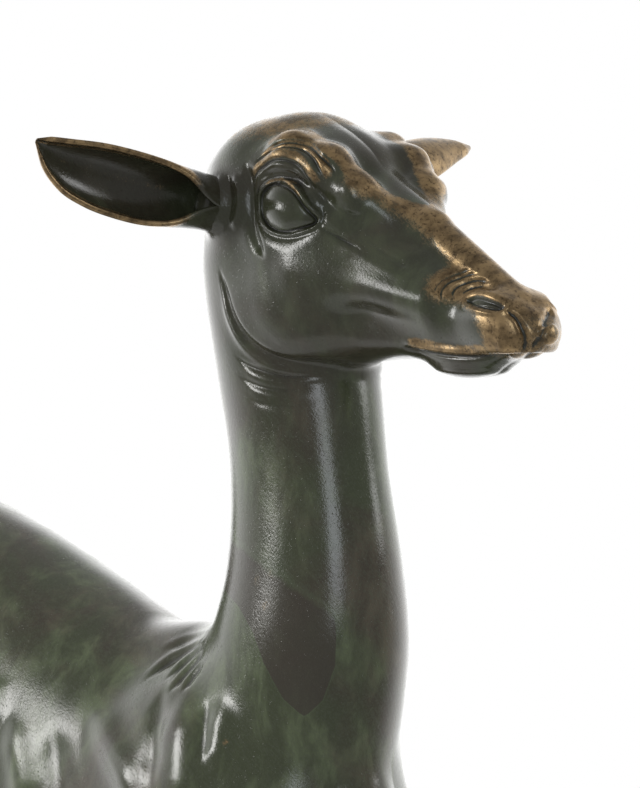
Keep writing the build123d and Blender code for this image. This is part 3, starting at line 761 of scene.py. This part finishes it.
def ear(side, over_leaf=56, over_rim=8, along=330):
    """Leaf-shaped cup: a curved wall with rounded, chased rims that close into a stalk at its base."""
    base, across, opening, axis, length = ear_frame(side)
    share = np.linspace(EAR[0][0], 1, along)
    sag, breadth, depth, closing = (np.interp(share, EAR_TABLE[:, 0], EAR_TABLE[:, i]) for i in range(1, 5))
    turn = np.linspace(0, 1, over_leaf)
    rim_turn = np.linspace(0, math.pi, over_rim + 2)[1:-1]
    rings, gold, cavity = [], [], []
    for s, drop, b, d, shut in zip(share, sag, breadth, depth, closing):
        first, last = -math.radians(shut), math.pi + math.radians(shut)
        angle = first + (last - first) * turn
        middle = np.stack([b * np.cos(angle), -d * np.sin(angle)], 1)
        tangent = np.gradient(middle, axis=0)
        tangent /= np.linalg.norm(tangent, axis=1, keepdims=True)
        inward = np.stack([-tangent[:, 1], tangent[:, 0]], 1)
        inward *= np.sign((inward * -middle).sum(1, keepdims=True).mean())
        run = np.concatenate([[0], np.cumsum(np.linalg.norm(np.diff(middle, axis=0), axis=1))])
        edge = np.minimum(run, run[-1] - run)
        thin = min(1.0, b / 5)
        swell = np.exp(-((edge - 0.6) / 1.9) ** 2)
        wall = (LEAF_HALF_WALL + (RIM_RADIUS - LEAF_HALF_WALL) * swell) * thin
        band = 2.2 + 2.4 * float(np.clip(b / 16, 0, 1))
        phase = 2 * math.pi * (s * length + edge * STROKE_SLANT) / RIM_STROKE
        groove = np.clip(0.5 - 0.75 * np.cos(phase), 0, 1) ** 0.8
        shown = smooth_step(band, band - 1.6, edge) * float(smooth_step(0.13, 0.22, np.array(s)))
        inner = middle + inward * (wall - STROKE_DEPTH * thin * groove * shown)[:, None]
        outer = middle - inward * wall[:, None]
        start_rim, end_rim = (
            [middle[end] + sign * wall[end] * (tangent[end] * math.sin(t) + inward[end] * math.cos(t))
             for t in rim_turn]
            for end, sign in ((0, -1), (-1, 1))
        )
        flat = np.concatenate([inner, end_rim, outer[::-1], start_rim])
        rings.append(base + across * (flat[:, :1] + drop) + opening * flat[:, 1:] + axis * (s * length))
        leafy = float(smooth_step(0.12, 0.24, np.array(s)))
        rim = smooth_step(band + 0.5, band - 0.7, edge) * leafy
        streak = 0.25 * np.exp(-((turn - 0.55) / 0.05) ** 2) * fade(s, 0.25, 0.8, 0.1)
        bare_back = 0.9 if side == "left" else 0.35
        worn_inner = np.maximum(rim * (1 - 0.75 * groove * shown), streak)
        worn_outer = np.maximum(np.full(over_leaf, bare_back * leafy), rim)
        tips = np.full(over_rim, 0.9 * leafy)
        gold.append(np.concatenate([worn_inner, tips, worn_outer[::-1], tips]))
        # Painted shade: the middle of the cup and the rim's chased grooves are darkened through the hollows
        # mask.
        cup_shade = 0.12 * smooth_step(0.75, 0.2, np.abs(turn - 0.5) * 2) * (1 - rim)
        shade = np.maximum(groove * shown, cup_shade)
        cavity.append(np.concatenate([shade, 0 * tips, 0 * worn_outer, 0 * tips]))
    around = len(rings[0])
    points = np.concatenate(rings)
    index = np.arange(along * around).reshape(along, around)
    ahead = np.roll(index, -1, axis=1)
    quads = np.stack([index[:-1], ahead[:-1], ahead[1:], index[1:]], -1).reshape(-1, 4)
    mesh = bpy.data.meshes.new(f"{side}_ear_cast")
    mesh.from_pydata(to_row(points).tolist(), [], quads.tolist())
    keep(mesh, gold=np.concatenate(gold), brown=np.zeros(len(points)), cavity=np.concatenate(cavity))
    bm = bmesh.new()
    bm.from_mesh(mesh)
    bmesh.ops.holes_fill(bm, edges=[e for e in bm.edges if e.is_boundary])
    write_smooth(bm, mesh)
    return new_piece(f"{side}_ear_cast", mesh)


# ---------------------------------------------------------------- legs and tail
DOOR_CENTRE = (-35.0, 0.0)
DOOR_HALF = (34.0, 20.0)
DOOR_LEDGE = 6.0
DOOR_SCREWS = 4
# (radius, height over the belly) from the middle of a screw's head to the end of its shank
SCREW_PROFILE = [(0, 0.45), (0.9, 0.45), (1.7, 0.42), (2.3, 0.25), (2.5, -0.1), (1.4, -1.6), (1.4, -9)]
SCREW_SIDES = 32
CORE_PLUGS = [(20, 455), (-120, 500)]     # (x, height) on each flank
PLUG_RADIUS = 4.0
# Tail, along z: (height, x of centre, half length, half width)
TAIL = [
    (557, -247, 5, 6), (554, -248, 9, 9), (538, -261, 9.5, 10.5), (518, -271, 8, 10.5),
    (498, -275, 6.2, 9.5), (484, -276, 4.4, 6.5), (479, -276, 1.5, 2.5),
]
TAIL_TABLE = eased([(z, x, 0, length, width) for z, x, length, width in TAIL])


def leg_detail(kind, side):
    """Chasing of one leg: tendons, dewclaws and the cloven hoof."""
    table = LEG_TABLES[kind, side]
    hock = 300 if kind == "hind" else 248

    def detail(p):
        x, y, z = p.T
        centre_x, centre_y, length = (np.interp(z, table[:, 0], table[:, i]) for i in (1, 2, 3))
        along, off = (x - centre_x) / length, np.abs(y - centre_y)
        shank = fade(z, 104, hock - 44, 22) * smooth_step(2, 6, off)
        tendon = -1.3 * np.exp(-((along + 0.25) / 0.22) ** 2) * shank
        cleft = -3.6 * np.exp(-(off / 1.1) ** 2) * smooth_step(58, 44, z) * smooth_step(-0.2, 0.3, along)
        heel = -2.6 * np.exp(-(off / 1.3) ** 2) * smooth_step(62, 48, z) * smooth_step(-0.3, -0.7, along)
        coronet = -0.8 * np.exp(-((z - 50 - 4 * along) / 1.3) ** 2)
        growth = -0.18 * (1 - folds((z - 2 * along) / 4.2, 0.5)) * smooth_step(47, 44, z)
        claw = ((off - 5) / 3.4) ** 2 + ((z - 72) / 6) ** 2
        dewclaw = 3.0 * np.exp(-claw) * smooth_step(-0.2, -0.75, along)
        joint = 0.9 * np.exp(-((z - hock) / 13) ** 2) * smooth_step(3, 8, off)
        return tendon + cleft + heel + coronet + growth + dewclaw + joint

    return detail


def folds(count, sharpness=0.75):
    """Rounded folds, 0 wherever count is a whole number and 1 between."""
    return np.abs(np.sin(math.pi * count)) ** sharpness


def tail_field(p):
    """Tail, ending just inside the rump."""
    tail = oval_loft(p[:, 2], p[:, 0], p[:, 1], TAIL_TABLE)
    return np.maximum(tail, -trunk_field(p) - 1.0)


def tail_detail(p):
    """Locks of hair running down to the tip."""
    x, y, z = p.T
    turn = np.arctan2(y, -(x + 262 + 0.25 * (538 - z)))
    lock = folds(turn * 2.6 + 0.05 * z + 0.35 * np.sin(z / 9), 0.6) - 0.6
    return 0.75 * lock * fade(z, 482, 548, 8)


def door_outline(p, grow=0.0):
    """Distance to the upright oval prism round the core door."""
    a, b = DOOR_HALF[0] + grow, DOOR_HALF[1] + grow
    u, v = p[:, 0] - DOOR_CENTRE[0], p[:, 1] - DOOR_CENTRE[1]
    k0 = np.hypot(u / a, v / b) + 1e-6
    return k0 * (k0 - 1) / (np.hypot(u / a ** 2, v / b ** 2) + 1e-9)


def door_field(p):
    """Oval plate that follows the belly, a hair proud of it, with its edge eased."""
    skin_depth = trunk_field(p)
    plate = np.maximum(skin_depth - 0.45, -skin_depth - 2.0)
    return -smooth_min(-plate, -door_outline(p), 0.8)


def plug_field(x, z, sign):
    """Round plug in the flank, chased almost flush."""
    def field(p):
        depth = trunk_field(p)
        disc = np.hypot(p[:, 0] - x, p[:, 2] - z) - PLUG_RADIUS
        plug = -smooth_min(-np.maximum(depth - 0.12, -depth - 4.5), -disc, 0.5)
        return np.maximum(plug, -sign * p[:, 1])
    return field


def plain(p):
    """No chasing."""
    return np.zeros(len(p))


def slotted_screws():
    """Countersunk slotted heads round the core door."""
    bm = bmesh.new()
    for i in range(DOOR_SCREWS):
        turn = math.pi / 4 + i * 2 * math.pi / DOOR_SCREWS
        x = DOOR_CENTRE[0] + (DOOR_HALF[0] - DOOR_LEDGE / 2) * math.cos(turn)
        y = (DOOR_HALF[1] - DOOR_LEDGE / 2) * math.sin(turn)
        heights = np.arange(335, 400, 0.1)
        column = np.stack([np.full(len(heights), x), np.full(len(heights), y), heights], 1)
        belly = heights[np.argmax(trunk_field(column) < 0.45)]
        slot_turn = 0.6 + 1.3 * i
        rings = []
        for radius, height in SCREW_PROFILE:
            ring = []
            for j in range(SCREW_SIDES):
                a = 2 * math.pi * j / SCREW_SIDES
                u, v = radius * math.cos(a), radius * math.sin(a)
                across = abs(-u * math.sin(slot_turn) + v * math.cos(slot_turn))
                slot = 0.55 * float(smooth_step(0.55, 0.3, np.array(across))) if height > -0.2 else 0.0
                place = to_row([(x + u, y + v, belly - height + slot)])[0]
                ring.append(bm.verts.new(Vector(place)))
            rings.append(ring)
        for inner, outer in zip(rings, rings[1:]):
            for j in range(SCREW_SIDES):
                after = (j + 1) % SCREW_SIDES
                bm.faces.new((inner[j], outer[j], outer[after], inner[after]))
        bm.faces.new(rings[-1])
    bmesh.ops.remove_doubles(bm, verts=bm.verts[:], dist=1e-6)
    mesh = bpy.data.meshes.new("door_screws")
    write_smooth(bm, mesh)
    return new_piece("door_screws", mesh)


# ---------------------------------------------------------------- pieces
EVERYWHERE = (-1000.0, 1000.0)
REAR, FRONT = (-1000.0, -60.0), (-60.0, 1000.0)
FINE = 1.0      # coarser meshes while working


def level(z, facing, reach=EVERYWHERE):
    """Horizontal joint plane that keeps what lies above it (facing 1) or below it (-1)."""
    return np.array([0, 0, z], float), np.array([0, 0, facing], float), reach


def make_castings():
    """Every cast piece of the figure, with the CAD node that it stands for."""
    neck_point, neck_normal = plane_of(*NECK_JOINT)
    neck_up, neck_down = (neck_point, neck_normal, EVERYWHERE), (neck_point, -neck_normal, EVERYWHERE)
    made = [
        (casting(
            "head_cast", (55, -50, 618), (272, 50, 752), 0.9 * FINE,
            [level(THROAT_JOINT, 1)], upper_field), "head_shell"),
        (casting(
            "neck_cast", (50, -50, 480), (190, 50, 640), 1.7 * FINE,
            [neck_up, level(THROAT_JOINT, -1)], figure_field), "neck_shell"),
        (casting(
            "torso_cast", (-282, -82, 322), (185, 82, 600), 2.0 * FINE,
            [neck_down, level(FORE_JOINT, 1, FRONT), level(HIND_JOINT, 1, REAR)],
            lower_field), "torso_shell"),
        (casting(
            "tail_cast", (-290, -16, 474), (-225, 16, 562), 0.9 * FINE,
            [], tail_field, tail_detail), "tail"),
        (casting(
            "door_cast", (-72, -23, 350), (2, 23, 392), 0.7 * FINE,
            [], door_field, plain), "belly_core_door"),
    ]
    for side, sign in SIDES.items():
        for kind, joint, low_x, high_x in (("fore", FORE_JOINT, 50, 150), ("hind", HIND_JOINT, -275, -135)):
            node = f"{side}_foreleg" if kind == "fore" else f"{side}_hind_leg"
            near, far = sorted((sign * 5, sign * 76))
            made.append((casting(
                f"{node}_cast", (low_x, near, GROUND - 6), (high_x, far, joint + 8), 1.7 * FINE,
                [level(joint, -1), level(GROUND, 1)], trunk_field, leg_detail(kind, side)), node))
        for i, (x, z) in enumerate(CORE_PLUGS):
            near, far = sorted((sign * 40, sign * 75))
            made.append((casting(
                f"{side}_core_plug_{i + 1}", (x - 7, near, z - 7), (x + 7, far, z + 7), 0.6, [],
                plug_field(x, z, sign), plain), "core_plugs"))
        made.append((ear(side), f"{side}_ear"))
    made.append((slotted_screws(), "core_door_screws"))
    return made


# ---------------------------------------------------------------- materials
class Finish:
    """A node material, with short ways to add its textures."""

    def __init__(self, name, ior=1.5):
        self.material = bpy.data.materials.new(name)
        self.material.use_nodes = True
        self.nodes = self.material.node_tree.nodes
        self.links = self.material.node_tree.links
        self.shader = self.nodes["Principled BSDF"]
        self.shader.inputs["IOR"].default_value = ior
        self.place = self.nodes.new("ShaderNodeTexCoord").outputs["Object"]

    def feed(self, value, socket):
        """Links a socket, or sets a plain value."""
        if isinstance(value, bpy.types.NodeSocket):
            self.links.new(value, socket)
        else:
            socket.default_value = value

    def surface(self, name, value):
        self.feed(value, self.shader.inputs[name])

    def math(self, operation, a, b=0.0, clamp=False):
        node = self.nodes.new("ShaderNodeMath")
        node.operation = operation
        node.use_clamp = clamp
        self.feed(a, node.inputs[0])
        self.feed(b, node.inputs[1])
        return node.outputs[0]

    def ramp(self, value, low, high, to_low=0.0, to_high=1.0):
        """Value eased from between low and high to between to_low and to_high."""
        node = self.nodes.new("ShaderNodeMapRange")
        node.interpolation_type = "SMOOTHSTEP"
        for socket, number in zip(node.inputs[:5], (value, low, high, to_low, to_high)):
            self.feed(number, socket)
        return node.outputs[0]

    def mix(self, share, a, b, blend="MIX"):
        """Colour a, turning to b."""
        node = self.nodes.new("ShaderNodeMix")
        node.data_type = "RGBA"
        node.blend_type = blend
        self.feed(share, node.inputs["Factor"])
        self.feed(a if isinstance(a, bpy.types.NodeSocket) else (*a, 1), node.inputs[6])
        self.feed(b if isinstance(b, bpy.types.NodeSocket) else (*b, 1), node.inputs[7])
        return node.outputs[2]

    def noise(self, scale, detail=4.0, roughness=0.55, stretch=(1, 1, 1), turn=(0, 0, 0), warp=0.0):
        """Noise in 1/m, stretched along an axis after a turn in degrees."""
        mapping = self.nodes.new("ShaderNodeMapping")
        mapping.vector_type = "TEXTURE"
        self.links.new(self.place, mapping.inputs["Vector"])
        mapping.inputs["Scale"].default_value = stretch
        mapping.inputs["Rotation"].default_value = [math.radians(angle) for angle in turn]
        node = self.nodes.new("ShaderNodeTexNoise")
        self.links.new(mapping.outputs[0], node.inputs["Vector"])
        numbers = {"Scale": scale, "Detail": detail, "Roughness": roughness, "Distortion": warp}
        for name, number in numbers.items():
            node.inputs[name].default_value = number
        return node.outputs["Fac"]

    def coordinates(self):
        """The place's three coordinates, in metres."""
        node = self.nodes.new("ShaderNodeSeparateXYZ")
        self.links.new(self.place, node.inputs[0])
        return node.outputs

    def kept(self, name):
        """A value kept at the mesh's points."""
        node = self.nodes.new("ShaderNodeAttribute")
        node.attribute_name = name
        return node.outputs["Fac"]

    def bump(self, height, depth):
        """Fine relief, depth in metres."""
        node = self.nodes.new("ShaderNodeBump")
        node.inputs["Strength"].default_value = 1.0
        node.inputs["Distance"].default_value = depth
        self.links.new(height, node.inputs["Height"])
        self.links.new(node.outputs[0], self.shader.inputs["Normal"])


def hatching(finish):
    """Fine cross-hatched marks of the brush and the scraper, 0 to 1."""
    marks = [
        finish.noise(1300, 2, 0.5, (1, 12, 1), (12, 0, 38)),
        finish.noise(1400, 2, 0.5, (1, 1, 12), (34, 18, 0)),
        finish.noise(1200, 2, 0.5, (10, 1, 1), (0, 42, 20)),
    ]
    both = finish.math("ADD", marks[0], finish.math("ADD", marks[1], marks[2]))
    return finish.ramp(finish.math("DIVIDE", both, 3.0), 0.38, 0.62)


def rubbed_bronze(finish, speckle):
    """Colour of bronze rubbed bare: brassy, with brown left in its pits."""
    tone = finish.noise(170, 5, 0.6)
    brass = finish.mix(finish.ramp(tone, 0.32, 0.66), (0.150, 0.102, 0.052), (0.400, 0.275, 0.140))
    return finish.mix(finish.math("MULTIPLY", speckle, 0.85), brass, (0.035, 0.022, 0.012))


def patina():
    """Waxed green-brown patina, rubbed through to bronze on the high points, with painted shade in its
    hollows.
    """
    finish = Finish("patinated_bronze", ior=1.55)
    broad = finish.noise(16, 4, 0.6, warp=0.6)
    cloud = finish.noise(62, 5, 0.65, (1, 1, 2.2), warp=0.4)
    grain = finish.noise(420, 4, 0.7)
    hatch = hatching(finish)
    green = finish.mix(finish.ramp(cloud, 0.42, 0.7), (0.052, 0.062, 0.031), (0.125, 0.155, 0.080))
    brown = finish.mix(finish.ramp(cloud, 0.4, 0.7), (0.052, 0.043, 0.029), (0.100, 0.084, 0.056))
    colour = finish.mix(finish.ramp(broad, 0.42, 0.62), green, brown)
    fleck = finish.ramp(grain, 0.58, 0.74, 0, 0.5)
    colour = finish.mix(fleck, colour, (0.095, 0.118, 0.066))
    colour = finish.mix(finish.ramp(hatch, 0.3, 0.9, 0, 0.35), colour, (0.075, 0.084, 0.055))
    blotch = finish.math("MULTIPLY", finish.noise(130, 4, 0.6), 0.35)
    stain = finish.math("ADD", finish.kept("brown"), blotch)
    stained = finish.ramp(stain, 0.58, 0.84)
    fringe = finish.math("SUBTRACT", finish.ramp(stain, 0.34, 0.58), stained, clamp=True)
    colour = finish.mix(finish.math("MULTIPLY", fringe, 0.2), colour, (0.100, 0.132, 0.075))
    colour = finish.mix(finish.math("MULTIPLY", stained, 0.8), colour, (0.050, 0.041, 0.031))
    height = finish.coordinates()[2]
    head = finish.ramp(height, (THROAT_JOINT - 40) * MM, (THROAT_JOINT + 30) * MM, 0, 0.55)
    colour = finish.mix(head, colour, (0.028, 0.0265, 0.016))
    cavity = finish.kept("cavity")
    # Painted shade: the hollows darkened toward near black.
    colour = finish.mix(finish.math("MULTIPLY", cavity, 0.75), colour, (0.005, 0.0045, 0.0035))
    speckle = finish.ramp(finish.noise(640, 5, 0.7), 0.53, 0.64)
    patches = finish.math("MULTIPLY", finish.noise(190, 6, 0.75), 0.95)
    wear = finish.math("ADD", finish.kept("gold"), patches)
    wear = finish.math("ADD", wear, finish.math("MULTIPLY", hatch, 0.25))
    wear = finish.math("SUBTRACT", wear, finish.math("MULTIPLY", cavity, 0.55))
    worn = finish.ramp(wear, 0.78, 1.40)
    colour = finish.mix(worn, colour, rubbed_bronze(finish, finish.math("MULTIPLY", speckle, 0.8)))
    finish.surface("Base Color", colour)
    finish.surface("Metallic", finish.math("MULTIPLY", worn, 0.8))
    rough = finish.ramp(cloud, 0.3, 0.75, 0.13, 0.22)
    rough = finish.math("ADD", rough, finish.math("MULTIPLY", hatch, 0.07))
    rough = finish.math("ADD", rough, finish.math("MULTIPLY", cavity, 0.18))
    finish.surface("Roughness", finish.math("ADD", rough, finish.math("MULTIPLY", worn, 0.14)))
    pits = finish.ramp(finish.noise(900, 2, 0.5), 0.66, 0.76, 0, 1.2)
    relief = finish.math("SUBTRACT", finish.math("MULTIPLY", hatch, 0.45), pits)
    relief = finish.math("ADD", relief, finish.math("MULTIPLY", grain, 0.35))
    finish.bump(finish.math("ADD", relief, finish.math("MULTIPLY", cloud, 1.2)), 0.000045)
    return finish.material


def edge_share(finish, low, high, reach):
    """1 near the upper and upright edges of a box, easing to 0 at reach from them, in metres."""
    place = finish.coordinates()
    middle = (low + high) / 2
    near = []
    for axis in range(2):
        half = (high[axis] - low[axis]) / 2
        away = finish.math("ABSOLUTE", finish.math("SUBTRACT", place[axis], middle[axis]))
        near.append(finish.ramp(away, half - reach, half - reach * 0.2))
    top = finish.ramp(place[2], high.z - reach, high.z - reach * 0.2)
    sides = finish.math("MAXIMUM", near[0], near[1])
    both = finish.math("MULTIPLY", near[0], near[1])
    return finish.math("MAXIMUM", finish.math("MULTIPLY", sides, top), both)


def plinth_bronze():
    """Dark brown waxed plinth, its edges rubbed."""
    finish = Finish("plinth_bronze", ior=1.55)
    cloud = finish.noise(26, 5, 0.6, warp=0.5)
    hatch = hatching(finish)
    colour = finish.mix(finish.ramp(cloud, 0.38, 0.66), (0.010, 0.0078, 0.0055), (0.026, 0.021, 0.0135))
    bloom = finish.ramp(finish.noise(90, 4, 0.7), 0.52, 0.72, 0, 0.6)
    colour = finish.mix(bloom, colour, (0.024, 0.034, 0.019))
    colour = finish.mix(finish.ramp(hatch, 0.3, 0.9, 0, 0.3), colour, (0.035, 0.032, 0.022))
    edge = edge_share(finish, *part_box("plinth"), 0.0045)
    wear = finish.math("ADD", edge, finish.math("MULTIPLY", finish.noise(120, 5, 0.7), 0.8))
    worn = finish.ramp(wear, 0.95, 1.5)
    speckle = finish.ramp(finish.noise(640, 5, 0.7), 0.53, 0.64)
    finish.surface("Base Color", finish.mix(worn, colour, rubbed_bronze(finish, speckle)))
    finish.surface("Metallic", finish.math("MULTIPLY", worn, 0.8))
    finish.surface("Roughness", finish.ramp(finish.math("ADD", cloud, hatch), 0.4, 1.6, 0.24, 0.42))
    finish.bump(finish.math("ADD", hatch, finish.math("MULTIPLY", finish.noise(60, 5, 0.6), 3.0)), 0.00007)
    return finish.material


def raw_bronze():
    """Turned and sawn bronze without patina."""
    finish = Finish("raw_bronze")
    lines = finish.noise(900, 2, 0.4, (12, 12, 1))
    tone = finish.noise(70, 5, 0.65)
    colour = finish.mix(finish.ramp(tone, 0.35, 0.7), (0.62, 0.40, 0.18), (0.36, 0.22, 0.10))
    bright = finish.ramp(lines, 0.5, 0.8, 0, 0.35)
    finish.surface("Base Color", finish.mix(bright, colour, (0.75, 0.52, 0.27)))
    finish.surface("Metallic", 1.0)
    finish.surface("Roughness", finish.ramp(finish.math("ADD", tone, lines), 0.6, 1.5, 0.28, 0.5))
    finish.bump(lines, 0.00003)
    return finish.material


def steel():
    """Zinc-plated steel, faintly blue and yellow, with turning marks."""
    finish = Finish("steel")
    lines = finish.noise(1100, 2, 0.4, (1, 1, 10))
    tint = finish.noise(160, 4, 0.6)
    colour = finish.mix(finish.ramp(tint, 0.35, 0.7), (0.56, 0.57, 0.60), (0.62, 0.60, 0.50))
    dull = finish.ramp(tint, 0.62, 0.75, 0, 0.4)
    finish.surface("Base Color", finish.mix(dull, colour, (0.30, 0.29, 0.27)))
    finish.surface("Metallic", 1.0)
    finish.surface("Roughness", finish.ramp(finish.math("ADD", lines, tint), 0.6, 1.5, 0.22, 0.42))
    finish.bump(lines, 0.00002)
    return finish.material


def felt():
    """Dense green wool felt."""
    finish = Finish("felt")
    fibre = finish.noise(1500, 5, 0.75, (1, 3, 1), (20, 10, 35), warp=1.5)
    cloud = finish.noise(220, 4, 0.6)
    colour = finish.mix(finish.ramp(fibre, 0.35, 0.7), (0.012, 0.035, 0.018), (0.040, 0.090, 0.050))
    faded = finish.ramp(cloud, 0.4, 0.7, 0, 0.4)
    finish.surface("Base Color", finish.mix(faded, colour, (0.05, 0.085, 0.05)))
    finish.surface("Roughness", finish.ramp(fibre, 0.3, 0.7, 0.88, 1.0))
    finish.shader.inputs["Sheen Weight"].default_value = 0.4
    finish.bump(fibre, 0.0002)
    return finish.material


CAD_FINISHES = {
    "plinth": "plinth_bronze", "neck_base_sleeve": "raw_bronze", "throat_sleeve": "raw_bronze",
    "neck_base_pins": "raw_bronze", "throat_pins": "raw_bronze", "tail_pin": "raw_bronze",
    "hoof_studs": "steel", "hoof_washers": "steel", "hoof_nuts": "steel", "felt_pads": "felt",
}
for pinned in ("ear", "foreleg", "hind_leg"):
    for side in SIDES:
        CAD_FINISHES[f"{side}_{pinned}_pin"] = "raw_bronze"


def dress(castings):
    """Every piece and every shown CAD node with its own material."""
    finishes = {
        "patinated_bronze": patina(), "plinth_bronze": plinth_bronze(), "raw_bronze": raw_bronze(),
        "steel": steel(), "felt": felt(),
    }
    for piece, node in castings:
        name = "steel" if node == "core_door_screws" else "patinated_bronze"
        piece.data.materials.append(finishes[name])
        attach(piece, BODY)
        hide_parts(node)
    for node, name in CAD_FINISHES.items():
        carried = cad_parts[node]
        for place in range(max(1, len(carried.data.materials))):
            if place < len(carried.material_slots):
                carried.material_slots[place].material = finishes[name]
            else:
                carried.data.materials.append(finishes[name])


dress(make_castings())

# ---------------------------------------------------------------- studio
AZIMUTH, ELEVATION = math.radians(50), math.radians(2.5)
CAMERA_DISTANCE = 1.6
LENS = 179.2              # mm, on a 36 mm sensor along the picture's long side
SENSOR = 36.0
AIM = (118, 0, 631)       # what the middle of the picture looks at, in figure millimetres
FLOOR_RADIUS = 0.7
FRONT_GLOW, BACK_GLOW = 0.33, 2.0      # light from the camera's side, and from behind the figure
# (name, azimuth and elevation in degrees, distance, size in metres, power, colour)
SOFT_BOXES = [
    ("key_box", -34, 13, 1.7, (0.5, 0.5), 9, (1, 0.99, 0.97)),
    ("wide_box", -40, 10, 1.75, (1.5, 0.45), 1.0, (1, 1, 1)),
    ("fill_box", 46, 17, 1.7, (0.5, 0.9), 5, (0.88, 0.94, 1)),
    ("right_box", 140, 24, 1.7, (0.5, 0.9), 6, (1, 1, 1)),
]


def direction(azimuth, elevation):
    """Unit vector toward a place round the figure, angles in radians."""
    level_part = math.cos(elevation)
    return Vector((math.sin(azimuth) * level_part, -math.cos(azimuth) * level_part, math.sin(elevation)))


def make_camera():
    """Long-lens camera, level with the head, on its right front."""
    data = bpy.data.cameras.new("camera")
    data.sensor_width = SENSOR
    data.lens = LENS
    camera = bpy.data.objects.new("camera", data)
    bpy.context.scene.collection.objects.link(camera)
    away = direction(AZIMUTH, ELEVATION)
    camera.location = Vector(to_row([AIM])[0]) + away * CAMERA_DISTANCE
    camera.rotation_euler = away.to_track_quat("Z", "Y").to_euler()
    bpy.context.scene.camera = camera


def soft_box(name, azimuth, elevation, distance, size, power, colour):
    """Soft box that faces the head from a direction in degrees."""
    data = bpy.data.lights.new(name, "AREA")
    data.shape = "RECTANGLE"
    data.size, data.size_y = size
    data.energy = power
    data.color = colour
    light = bpy.data.objects.new(name, data)
    away = direction(math.radians(azimuth), math.radians(elevation))
    light.location = Vector(to_row([AIM])[0]) + away * distance
    light.rotation_euler = away.to_track_quat("Z", "Y").to_euler()
    bpy.context.scene.collection.objects.link(light)


def spread(nodes, links, value, numbers, way="SMOOTHSTEP"):
    """Output of a node that maps one range onto another: (from low, from high, to low, to high)."""
    node = nodes.new("ShaderNodeMapRange")
    node.interpolation_type = way
    for socket, number in zip(node.inputs[1:5], numbers):
        socket.default_value = number
    links.new(value, node.inputs[0])
    return node.outputs[0]


def make_surround():
    """White surround, dimmer for the light it sends from the camera's side of the studio."""
    world = bpy.data.worlds.new("studio_world")
    world.use_nodes = True
    nodes, links = world.node_tree.nodes, world.node_tree.links
    background = nodes["Background"]
    place = nodes.new("ShaderNodeTexCoord")
    dot = nodes.new("ShaderNodeVectorMath")
    dot.operation = "DOT_PRODUCT"
    dot.inputs[1].default_value = -direction(AZIMUTH, 0.0)
    links.new(place.outputs["Generated"], dot.inputs[0])
    behind = spread(nodes, links, dot.outputs["Value"], (-0.15, 0.80, 0.0, 1.0))
    split = nodes.new("ShaderNodeSeparateXYZ")
    links.new(place.outputs["Generated"], split.inputs[0])
    low = spread(nodes, links, split.outputs[2], (0.30, 0.66, 1.0, 0.12))
    both = nodes.new("ShaderNodeMath")
    both.operation = "MULTIPLY"
    links.new(behind, both.inputs[0])
    links.new(low, both.inputs[1])
    glow = spread(nodes, links, both.outputs[0], (0.0, 1.0, FRONT_GLOW, BACK_GLOW), "LINEAR")
    seen = nodes.new("ShaderNodeLightPath")
    strength = nodes.new("ShaderNodeMix")
    strength.inputs["B"].default_value = 1.0
    links.new(seen.outputs["Is Camera Ray"], strength.inputs["Factor"])
    links.new(glow, strength.inputs["A"])
    links.new(strength.outputs[0], background.inputs["Strength"])
    background.inputs["Color"].default_value = (1, 1, 1, 1)
    bpy.context.scene.world = world


def make_studio():
    """Pale round floor and soft boxes."""
    bpy.ops.mesh.primitive_circle_add(vertices=96, radius=FLOOR_RADIUS, fill_type="NGON")
    floor = bpy.context.object
    floor.name = "studio_floor"
    pale = bpy.data.materials.new("studio_floor")
    pale.use_nodes = True
    shader = pale.node_tree.nodes["Principled BSDF"]
    shader.inputs["Base Color"].default_value = (0.85, 0.85, 0.85, 1)
    shader.inputs["Roughness"].default_value = 0.8
    floor.data.materials.append(pale)
    make_surround()
    for box in SOFT_BOXES:
        soft_box(*box)


make_camera()
make_studio()
bpy.context.scene.view_settings.view_transform = "Standard"
